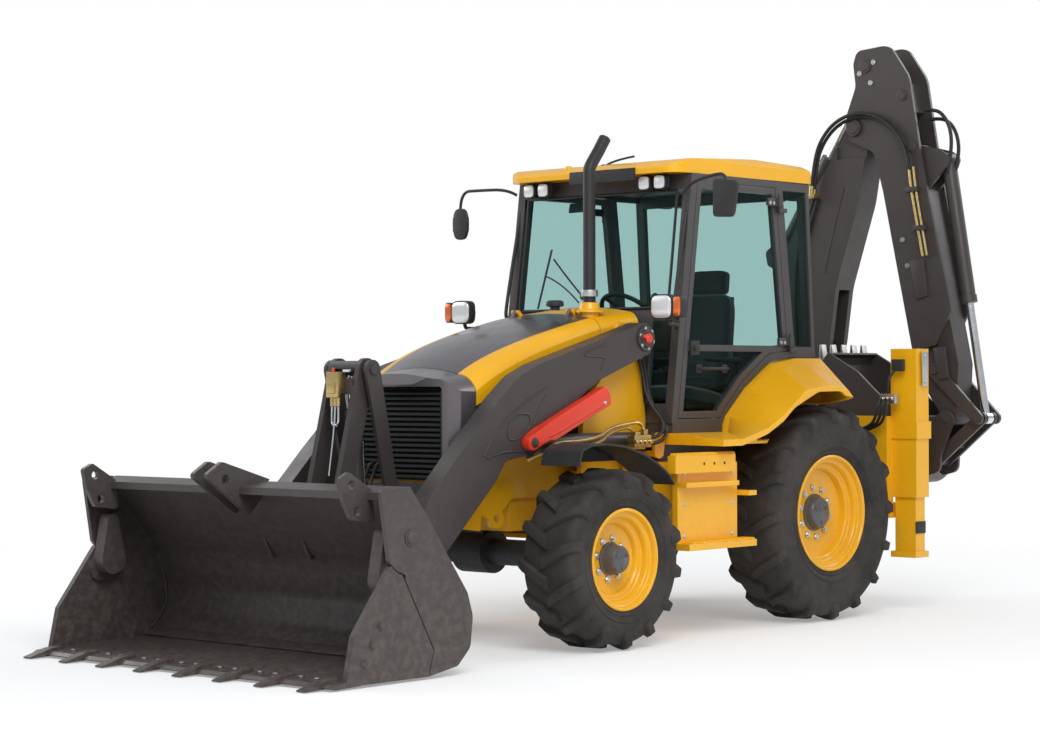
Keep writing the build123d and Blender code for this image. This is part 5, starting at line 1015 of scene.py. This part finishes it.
# raised weld-like lines on the outer side of each arm, as (X, Z) rows
ARM_BEADS = (
    ((2.323, 1.505), (2.473, 1.445), (2.620, 1.364), (2.734, 1.278), (2.814, 1.203), (2.862, 1.118)),
    ((2.838, 1.104), (2.734, 1.134), (2.621, 1.141), (2.520, 1.137)),
    ((2.331, 1.455), (2.382, 1.394), (2.415, 1.339), (2.440, 1.290)),
    ((2.645, 1.309), (2.590, 1.345), (2.539, 1.357), (2.480, 1.352), (2.468, 1.310), (2.482, 1.270),
     (2.530, 1.235), (2.590, 1.208), (2.653, 1.205), (2.668, 1.250), (2.645, 1.309)),
    ((1.788, 1.763), (1.880, 1.742), (1.972, 1.716), (1.998, 1.690), (1.900, 1.688), (1.797, 1.684),
     (1.812, 1.650), (1.838, 1.611)),
)


def pin_cap(form, point, face, side, radius, proud=0.020):
    """Pin end with its ring, standing on a side plate."""
    x, z = point
    form.lathe(((radius, 0.0), (radius, proud * 0.5), (radius - 0.006, proud * 0.6),
                (radius * 0.72, proud * 0.6),
                (radius * 0.70, proud), (radius * 0.62, proud + 0.004), (0, proud + 0.004), (0, 0)),
               (x, side * face, z), (0, side, 0), 40)


def loader_details():
    """Weld-like lines, pin rings, bolts and nipples of the arms, and the tilt linkage's hoses."""
    for side, tag in SIDES:
        beads = Form()
        for row in ARM_BEADS:
            beads.tube([(x, side * (ARM_FACE + 0.0005), z) for x, z in row], 0.006, 2)
        beads.piece(f"arm_beads_{tag}", "boom_charcoal", "loader_arms", "boom_dark")
        rings = Form()
        pin_cap(rings, ARM_PIVOT, ARM_FACE, side, 0.078, 0.022)
        pin_cap(rings, KNEE, ARM_FACE, side, 0.062, 0.014)
        pin_cap(rings, ARM_TIP, ARM_FACE, side, 0.066, 0.018)
        rings.piece(f"arm_rings_{tag}", "boom_charcoal", "loader_arms", "boom_dark")
        knob = Form()
        knob.lathe(((0.030, 0.0), (0.032, 0.010), (0.022, 0.020), (0, 0.022), (0, 0.0)),
                   (1.425, side * 0.681, 1.800), (0, side, 0), 24)
        knob.prism(((1.415, 1.790), (1.480, 1.802), (1.478, 1.822), (1.415, 1.812)), "Y", side * 0.683,
                   side * 0.695, 0.003)
        knob.piece(f"pivot_lever_{tag}", "strut_red", "loader_arms", "red_paint")
        bolts(f"pivot_bolts_{tag}", circle_spots((ARM_PIVOT[0], side * (ARM_FACE + 0.014), ARM_PIVOT[1]),
                                                 0.062, 6, 0.3),
              (0, side, 0), 0.008, "zinc", "loader_arms", "boom_dark")
        bolts(f"arm_tip_bolts_{tag}", [(3.370, side * (ARM_FACE + 0.001), 0.435),
                                       (3.330, side * (ARM_FACE + 0.001), 0.470)],
              (0, side, 0), 0.010, "zinc", "loader_arms", "boom_dark")
        nipples = Form()
        for x, z in (ARM_PIVOT, ARM_TIP):
            nipples.lathe(((0, 0), (0.005, 0), (0.005, 0.012), (0.003, 0.018), (0, 0.020)),
                          (x + 0.03, side * 0.678, z + 0.02), (0, side, 0), 10)
        nipples.piece(f"grease_nipples_{tag}", "gold_zinc", "loader_arms", "boom_dark")
    # hose pair and steel pipes that run up the tilt linkage's lever
    for y, finish, name in ((0.030, "hose_black", "tilt_hoses"), (0.018, "rod_chrome", "tilt_pipes")):
        run = Form()
        for side in (1, -1):
            if name == "tilt_hoses":
                run.tube(((2.930, side * y, 0.880), (2.950, side * y, 1.010), (3.080, side * y, 1.100),
                          (3.150, side * y, 0.960), (3.196, side * y, 0.860)), 0.011)
            else:
                run.tube(((3.170, side * y, 0.820), (3.190, side * y, 1.000), (3.196, side * y, 1.200)),
                         0.007)
        run = run.piece(name, finish, None, "black_metal")
        if name == "tilt_hoses":
            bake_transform(run)
        else:
            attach(run, "tilt_barrel")


def strut_details():
    """Red service strut: a channel with a narrower foot, its pin, and the fold along its top."""
    foot, head = Vector((2.500, 0, 1.190)), Vector((1.880, 0, 1.440))
    along = (head - foot).normalized()
    up = along.cross(Vector((0, 1, 0)))
    turns = [math.pi * (0.5 + k / 10) for k in range(11)]
    rows = [(0.048 * math.cos(a), 0.046 * math.sin(a)) for a in turns]
    rows += [(0.110, -0.048), (0.150, -0.056), (0.700, -0.060), (0.722, -0.046), (0.728, 0.020),
             (0.712, 0.060), (0.165, 0.062), (0.150, 0.044), (0.125, 0.038)]
    outline = [foot + along * way + up * rise for way, rise in rows]
    strut = Form().prism([(spot.x, spot.z) for spot in outline], "Y", ARM_FACE + 0.0005, ARM_FACE + 0.061,
                         0.006)
    fold = [foot + along * way + up * rise + Vector((0, ARM_FACE + 0.0605, 0))
            for way, rise in ((0.130, 0.020), (0.200, 0.034), (0.690, 0.036))]
    strut.tube(fold, 0.005, 2)
    strut = strut.piece("service_strut", "strut_red", "loader_arms", "red_paint")
    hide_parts("arm_strut")
    pin = Form()
    pin_cap(pin, (foot.x, foot.z), ARM_FACE + 0.060, 1, 0.028, 0.014)
    pin.piece("service_strut_pin", "boom_charcoal", "loader_arms", "boom_dark")
    hole = foot + along * 0.665 + up * 0.030
    bolts("service_strut_bolt", [(hole.x, ARM_FACE + 0.0612, hole.z)], (0, 1, 0), 0.009, "zinc",
          "loader_arms", "red_paint")


def tilt_valve():
    """Gold valve block between the tilt link's legs, with its chromed pipe loop."""
    plate = Form().box((3.352, 3.360), (-0.099, 0.099), (1.470, 1.560), 0.002)
    plate.piece("tilt_valve_plate", "boom_charcoal", "tilt_link", "boom_dark")
    block = Form().box((3.361, 3.425), (-0.046, 0.046), (1.452, 1.598), 0.005)
    block.box((3.395, 3.440), (-0.030, 0.030), (1.475, 1.540), 0.004)
    for y in (-0.026, 0.0, 0.026):
        block.pin((3.395, y, 1.400), (0, 0, 1), 0.012, 0, 0.055, 0.003, 12)
    block.piece("tilt_valve", "gold_zinc", "tilt_link", "black_metal")
    loop = Form().tube(((3.395, -0.026, 1.405), (3.396, -0.028, 1.330), (3.398, -0.024, 1.300),
                        (3.398, 0.0, 1.290),
                        (3.398, 0.024, 1.300), (3.396, 0.028, 1.330), (3.395, 0.026, 1.405)), 0.007)
    loop.tube(((3.395, 0.0, 1.405), (3.400, 0.0, 1.300), (3.425, 0.004, 1.150), (3.452, 0.008, 1.010)),
              0.007)
    loop.piece("tilt_pipe_loop", "rod_chrome", "tilt_link", "black_metal")
    knob = Form().pin((3.410, 0.0, 1.597), (0, 0, 1), 0.009, 0, 0.024, 0.003, 12)
    knob.piece("tilt_valve_knob", "strut_red", "tilt_link", "red_paint")


def bucket_details():
    """Weld beads inside the corners, bolts on cheeks and edge, and the clam's pin ends."""
    weld = Form()
    for side in (1, -1):
        weld.tube(((3.760, side * 1.196, 0.100), (3.655, side * 1.196, 0.185), (3.625, side * 1.196, 0.325),
                   (3.703, side * 1.196, 0.545)), 0.006, 2)
    weld.piece("bucket_welds", "bucket_charcoal", "loader_bucket", "boom_dark")
    for side, tag in SIDES:
        bolts(f"cheek_bolts_{tag}", [(4.240, side * 1.2262, 0.300), (4.300, side * 1.2262, 0.210),
                                     (4.360, side * 1.2262, 0.120)], (0, side, 0), 0.016, "bucket_charcoal",
                                     "clam",
              "boom_dark")
    edge = []
    for index in range(7):
        y = -0.94 + 1.88 * index / 6
        edge += [(4.470, y - 0.06, 0.0405), (4.470, y + 0.06, 0.0405)]
    bolts("edge_bolts", edge, (0, 0, 1), 0.015, "worn_steel", "clam", "boom_dark", 0.4, 1.2)
    clam_pins = Form()
    for side in (1, -1):
        pin_cap(clam_pins, (4.022, 0.738), 1.2255, side, 0.045, 0.012)
    clam_pins.piece("clam_pins", "bucket_charcoal", "clam", "boom_dark")


# Machine body

def front_plumbing():
    """Ride valve, its pipes over each front fender, and the hoses behind each tower."""
    for side, tag in SIDES:
        valve = Form()
        valve.box((1.480, 1.640), (side * 0.690, side * 0.750), (1.140, 1.215), 0.006)
        valve.box((1.500, 1.540), (side * 0.700, side * 0.740), (1.215, 1.250), 0.005)
        valve.box((1.570, 1.620), (side * 0.700, side * 0.740), (1.215, 1.235), 0.005)
        for x in (1.500, 1.545, 1.590, 1.630):
            valve.pin((x, side * 0.748, 1.175), (0, side, 0), 0.015, 0, 0.022, 0.003, 12)
        valve.box((1.470, 1.650), (side * 0.500, side * 0.692), (1.128, 1.142), 0.003)
        valve.piece(f"ride_valve_{tag}", "gold_zinc", "machine", "black_metal")
        pipes = Form()
        pipes.tube(((1.520, side * 0.720, 1.245), (1.540, side * 0.722, 1.295), (1.680, side * 0.722, 1.285),
                    (1.841, side * 0.724, 1.262), (1.920, side * 0.724, 1.215), (2.102, side * 0.722, 1.189),
                    (2.322, side * 0.715, 1.188), (2.380, side * 0.690, 1.130), (2.390, side * 0.56, 1.090)),
                    0.010)
        pipes.tube(((1.590, side * 0.700, 1.230), (1.620, side * 0.700, 1.262), (1.720, side * 0.700, 1.255),
                    (1.830, side * 0.700, 1.225), (1.900, side * 0.700, 1.175), (2.080, side * 0.698, 1.155),
                    (2.260, side * 0.690, 1.150), (2.330, side * 0.60, 1.120), (2.340, side * 0.52, 1.080)),
                    0.010)
        pipes.piece(f"guard_pipes_{tag}", "gold_zinc", "machine", "black_metal")
        hoses = Form()
        hoses.tube(((1.345, side * 0.532, 1.700), (1.312, side * 0.545, 1.590), (1.315, side * 0.560, 1.490),
                    (1.300, side * 0.610, 1.375), (1.290, side * 0.690, 1.300), (1.340, side * 0.720, 1.205),
                    (1.480, side * 0.715, 1.190)), 0.012)
        hoses.tube(((1.300, side * 0.532, 1.690), (1.278, side * 0.545, 1.570), (1.276, side * 0.560, 1.460),
                    (1.270, side * 0.610, 1.355), (1.268, side * 0.700, 1.270), (1.340, side * 0.740, 1.170),
                    (1.482, side * 0.735, 1.160)), 0.012)
        hoses.piece(f"tower_hoses_{tag}", "hose_black", "machine", "black_plastic")
        ends = Form()
        for x, z in ((1.345, 1.700), (1.300, 1.690)):
            ends.pin((x, side * 0.514, z), (0, side, 0), 0.018, 0, 0.022, 0.003, 12)
        ends.piece(f"tower_fittings_{tag}", "zinc", "machine", "black_metal")


def bonnet_details():
    """Breather cap, the stack's flare and clamp, and the screen behind the louvres."""
    cap = Form()
    cap.lathe(((0, 0), (0.030, 0), (0.030, 0.020), (0.052, 0.024), (0.055, 0.034), (0.052, 0.052),
               (0.040, 0.060), (0, 0.062)), (1.737, 0.200, 1.975), (0, 0, 1), 32)
    cap.piece("breather_cap", "plastic_black", "hood", "black_plastic")
    flare = Form()
    flare.lathe(((0.052, 0.0), (0.088, 0.0), (0.086, 0.012), (0.066, 0.022), (0.058, 0.060), (0.052, 0.062)),
                (1.557, 0.324, 1.962), (0, 0, 1), 36)
    flare.piece("stack_flare", "machine_yellow", "machine", "yellow_body")
    clamp = Form()
    clamp.lathe(((0.044, -0.020), (0.052, -0.020), (0.054, 0.0), (0.052, 0.020), (0.044, 0.020)),
                (1.557, 0.324, 2.080), (0, 0, 1), 32)
    clamp.piece("stack_clamp", "zinc", "machine", "black_metal")
    mesh_form = Form()
    mesh_form.box((2.851, 2.855), (-0.002, 0.002), (0.985, 1.490), 0)
    upright = row_of(mesh_form, 40, (0, 0.0185, 0), "plastic_black")
    screen = Form().mixed(upright)
    bmesh.ops.translate(screen.mesh, verts=screen.mesh.verts, vec=(0, -0.36, 0))
    screen.piece("grille_screen", "plastic_black", "machine", "black_plastic")


def step_details():
    """Serrated step edges, bolts of the boxes, black discs as painted shade in the boxes' holes, and bolts
    on the door hinges.
    """
    for side, tag in SIDES:
        tooth = Form().prism(((1.040, 1.095), (1.052, 1.112), (1.064, 1.095)), "Y",
                             *sorted((side * 0.992, side * 1.048)), 0.001)
        serrated = Form().mixed(row_of(tooth, 22, (0.026, 0, 0), "machine_yellow"))
        serrated.piece(f"step_teeth_{tag}", "machine_yellow", "machine", "yellow_body")
        low = Form().prism(((0.890, 0.570), (0.900, 0.583), (0.910, 0.570)), "Y",
                           *sorted((side * 0.994, side * 1.086)), 0.001)
        Form().mixed(row_of(low, 24, (0.026, 0, 0), "machine_yellow")).piece(
            f"low_step_teeth_{tag}", "machine_yellow", "machine", "yellow_body")
        spots = [(x, side * 1.0005, z) for x in (1.010, 1.480) for z in (0.610, 0.800, 0.985)]
        bolts(f"box_bolts_{tag}", spots, (0, side, 0), 0.009, "zinc", "machine", "yellow_body")
        # black discs stand for the holes: painted shade of their dark insides
        hole_shade_discs = Form()
        for x in (1.150, 1.250, 1.350):
            hole_shade_discs.pin((x, side * 1.0495, 1.043), (0, side, 0), 0.009, 0, 0.002, 0.0005, 16)
        hole_shade_discs.piece(f"step_hole_shade_{tag}", "plastic_black", "machine", "black_plastic")
        for index, share in enumerate((0.06, 0.94)):
            x, z = 0.030 + 0.130 * share, 1.725 + 1.020 * share
            bolts(f"hinge_bolts_{tag}_{index}", [(x + 0.060, side * 0.7385, z),
                                                 (x + 0.100, side * 0.7385, z)],
                  (0, side, 0), 0.008, "zinc", f"door_{tag}", "cab_dark")


# Backhoe. Places on it are given as (Y, Z) and a distance off its middle plane.

HOE_X = -1.450
NEAR = 0.130


def hoe(y, z, off=NEAR):
    """Spot on the machine for a place on the backhoe."""
    return (HOE_X + off, y, z)


def hoe_run(form, points, radius, off=NEAR + 0.018):
    """Pipe or hose through places on the backhoe, all at one distance off its plane."""
    return form.tube([hoe(y, z, off) for y, z in points], radius)


def hoe_cap(form, point, off, radius, proud=0.016):
    """Pin ends on both sides of the backhoe's plane."""
    for side in (1, -1):
        form.lathe(((radius, 0.0), (radius, proud * 0.5), (radius - 0.006, proud * 0.6),
                    (radius * 0.70, proud * 0.6),
                    (radius * 0.66, proud), (0, proud), (0, 0)), hoe(*point, side * off), (side, 0, 0), 36)


def hoe_details():
    """Pin caps, bolts, brackets, pipes, hoses and tooth tips of the backhoe."""
    ring = Form()
    hoe_cap(ring, (0.310, 3.312), 0.137, 0.060)
    ring.piece("boom_tip_ring", "boom_charcoal", "boom", "boom_dark")
    head = Form()
    hoe_cap(head, (0.400, 3.740), 0.125, 0.050)
    for y, z in ((0.701, 3.510), (0.781, 3.148)):
        hoe_cap(head, (y, z), 0.125, 0.040, 0.014)
    head.piece("dipper_pin_caps", "boom_charcoal", "dipper", "boom_dark")
    keepers = ((0.354, 3.690), (0.470, 3.760), (0.446, 3.618), (0.706, 2.510), (0.746, 2.329))
    bolts("dipper_keeper_bolts", [hoe(y, z, 0.127) for y, z in keepers], (1, 0, 0), 0.013, "zinc", "dipper",
          "boom_dark")
    bracket = Form().prism(((0.766, 2.366), (0.880, 2.374), (0.915, 2.117), (0.819, 2.094)), "X",
                           HOE_X + 0.125, HOE_X + 0.137, 0.003)
    bracket.prism(((0.955, 1.760), (1.050, 1.770), (1.080, 1.560), (1.000, 1.540)), "X", HOE_X + 0.125,
                  HOE_X + 0.137, 0.003)
    bracket.piece("dipper_brackets", "boom_charcoal", "dipper", "boom_dark")
    pipe = Form()
    hoe_run(pipe, ((0.775, 3.020), (0.784, 2.900), (0.835, 2.640), (0.885, 2.390)), 0.011)
    hoe_run(pipe, ((0.812, 3.010), (0.822, 2.890), (0.870, 2.640), (0.918, 2.395)), 0.009)
    pipe.piece("dipper_pipes", "gold_zinc", "dipper", "black_metal")
    clamps = Form()
    for y, z in ((0.800, 2.853), (0.862, 2.586)):
        clamps.box((HOE_X + 0.124, HOE_X + 0.168), (y - 0.045, y + 0.045), (z - 0.018, z + 0.018), 0.004)
    clamps.piece("pipe_clamps", "boom_charcoal", "dipper", "boom_dark")
    arc = Form()
    for shift, off in ((0.0, 0.150), (0.022, 0.178)):
        arc.tube([hoe(y, z + shift, off) for y, z in (
            (-0.020, 2.900), (0.000, 3.060), (0.050, 3.210), (0.180, 3.345), (0.390, 3.400), (0.590, 3.330),
            (0.720, 3.190), (0.775, 3.060), (0.780, 2.990))], 0.013)
    arc = arc.piece("boom_hose_arc", "hose_black", None, "black_plastic", 60)
    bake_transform(arc)
    fittings = Form()
    for y, z, off in ((-0.022, 2.870, 0.150), (-0.022, 2.892, 0.178)):
        fittings.pin(hoe(y, z, off), (0, 0.12, 1), 0.018, -0.04, 0.03, 0.004, 16)
    fittings.box((HOE_X + 0.088, HOE_X + 0.196), (-0.055, 0.012), (2.830, 2.860), 0.004)
    fittings.piece("boom_hose_fittings", "gold_zinc", "boom", "black_metal")
    runs = Form()
    hoe_run(runs, ((-0.035, 2.840), (-0.090, 2.700), (-0.190, 2.450), (-0.210, 2.100), (-0.190, 1.700),
                   (-0.180, 1.300), (-0.170, 1.050)), 0.012, 0.126)
    hoe_run(runs, ((-0.005, 2.840), (-0.060, 2.690), (-0.150, 2.440), (-0.168, 2.100), (-0.150, 1.700),
                   (-0.140, 1.300), (-0.130, 1.080)), 0.012, 0.126)
    runs.piece("boom_hoses", "hose_black", "boom", "black_plastic")
    loop = Form()
    loop.tube([hoe(*p) for p in ((0.840, 3.400, 0.05), (0.930, 3.405, 0.05), (1.010, 3.340, 0.05),
                                 (1.055, 3.230, 0.05), (1.050, 3.080, 0.05), (1.020, 2.960, 0.05))], 0.013)
    loop.tube([hoe(*p) for p in ((0.850, 3.340, 0.00), (0.960, 3.350, 0.00), (1.050, 3.270, 0.00),
                                 (1.085, 3.150, 0.00), (1.070, 3.030, 0.00), (1.040, 2.930, 0.00))], 0.013)
    loop.piece("crowd_hoses", "hose_black", "dipper", "black_plastic")
    beads = Form()
    for row in (((-0.180, 1.300), (-0.215, 1.700), (-0.200, 2.050), (-0.130, 2.350)),
                ((0.040, 2.300), (0.110, 2.600), (0.210, 2.900)),
                ((-0.230, 2.300), (-0.160, 2.560), (-0.010, 2.800))):
        beads.tube([hoe(y, z, 0.1105) for y, z in row], 0.005, 2)
    beads.piece("boom_beads", "boom_charcoal", "boom", "boom_dark")
    teeth = Form()
    for index in range(5):
        middle = -0.250 + 0.500 * index / 4
        teeth.prism(((0.1515, 1.640), (0.1515, 1.664), (0.128, 1.792), (0.116, 1.792), (0.1065, 1.664),
                     (0.1065, 1.640)),
                    "X", HOE_X + middle - 0.0295, HOE_X + middle + 0.0295, 0.003)
    teeth.piece("hoe_tooth_tips", "worn_steel", "hoe_bucket", "boom_dark")
    side_bolts = [hoe(y, z, 0.3005) for y, z in ((0.215, 1.520), (0.260, 1.360))]
    bolts("hoe_bucket_bolts", side_bolts, (1, 0, 0), 0.014, "boom_charcoal", "hoe_bucket", "boom_dark")
    foot_rings = Form()
    hoe_cap(foot_rings, (-0.150, 0.900), 0.145, 0.052, 0.016)
    foot_rings.piece("boom_foot_rings", "boom_charcoal", "swing_post", "boom_dark")


def stabilizer_details():
    """Cap, plates, valve and hoses of each stabilizer leg, with black pieces as painted shade in its port
    and its slot.
    """
    for side, tag in SIDES:
        cap = Form().box((-0.955, -0.835), (side * 0.955, side * 1.125), (1.700, 1.720), 0.006)
        cap.pin((-0.895, side * 1.04, 1.700), (0, 0, 1), 0.022, 0, 0.030, 0.004, 20)
        cap.piece(f"leg_cap_{tag}", "machine_yellow", f"stabilizer_{tag}", "yellow_body")
        plates = Form().prism(((-0.930, 1.500), (-0.870, 1.500), (-0.862, 1.730), (-0.938, 1.730)), "Y",
                              side * 1.152, side * 1.160, 0.002)
        plates.box((-0.960, -0.945), (side * 0.950, side * 1.060), (0.700, 1.140), 0.004)
        plates.piece(f"leg_plates_{tag}", "zinc", "machine", "yellow_body")
        bolts(f"leg_plate_bolts_{tag}", [(-0.900, side * 1.1602, 1.530), (-0.900, side * 1.1602, 1.700)],
              (0, side, 0), 0.012, "zinc", "machine", "yellow_body")
        # black block standing for the port's recess: painted shade
        recess_shade = Form().box((-0.788, -0.7555), (side * 0.985, side * 1.075), (1.600, 1.680), 0.006)
        recess_shade.piece(f"leg_port_shade_{tag}", "plastic_black", "machine", "black_plastic")
        valve = Form().box((-0.760, -0.700), (side * 0.930, side * 1.050), (1.385, 1.450), 0.006)
        for k in range(3):
            valve.pin((-0.702, side * (0.955 + 0.035 * k), 1.418), (1, 0, 0), 0.012, 0, 0.018, 0.003, 12)
        valve.piece(f"leg_valve_{tag}", "zinc", "machine", "black_metal")
        hoses = Form()
        for k in range(3):
            y = side * (0.955 + 0.035 * k)
            hoses.tube(((-0.690, y, 1.418), (-0.650, y, 1.400), (-0.650, y - side * 0.02, 1.300),
                        (-0.700, y - side * 0.10, 1.230), (-0.730, y - side * 0.28, 1.190)), 0.010)
        hoses.tube(((-0.765, side * 1.01, 1.610), (-0.720, side * 1.00, 1.570),
                    (-0.715, side * 0.985, 1.500), (-0.725, side * 0.98, 1.455)), 0.010)
        hoses.piece(f"leg_hoses_{tag}", "hose_black", "machine", "black_plastic")
        # black sheet standing for the slot: painted shade of its inside
        slot = Form().box((-0.952, -0.838), (side * 1.118, side * 1.128), (0.520, 0.600), 0.004)
        slot.piece(f"leg_slot_shade_{tag}", "plastic_black", f"stabilizer_{tag}", "black_plastic")


finish_nodes()
photo_camera()
studio()
floor()
wheels()
lamps()
mirrors()
seat()
cab_fittings()
window_rubber()
loader_details()
strut_details()
tilt_valve()
bucket_details()
front_plumbing()
bonnet_details()
step_details()
hoe_details()
stabilizer_details()

bpy.context.scene.view_settings.view_transform = "Standard"
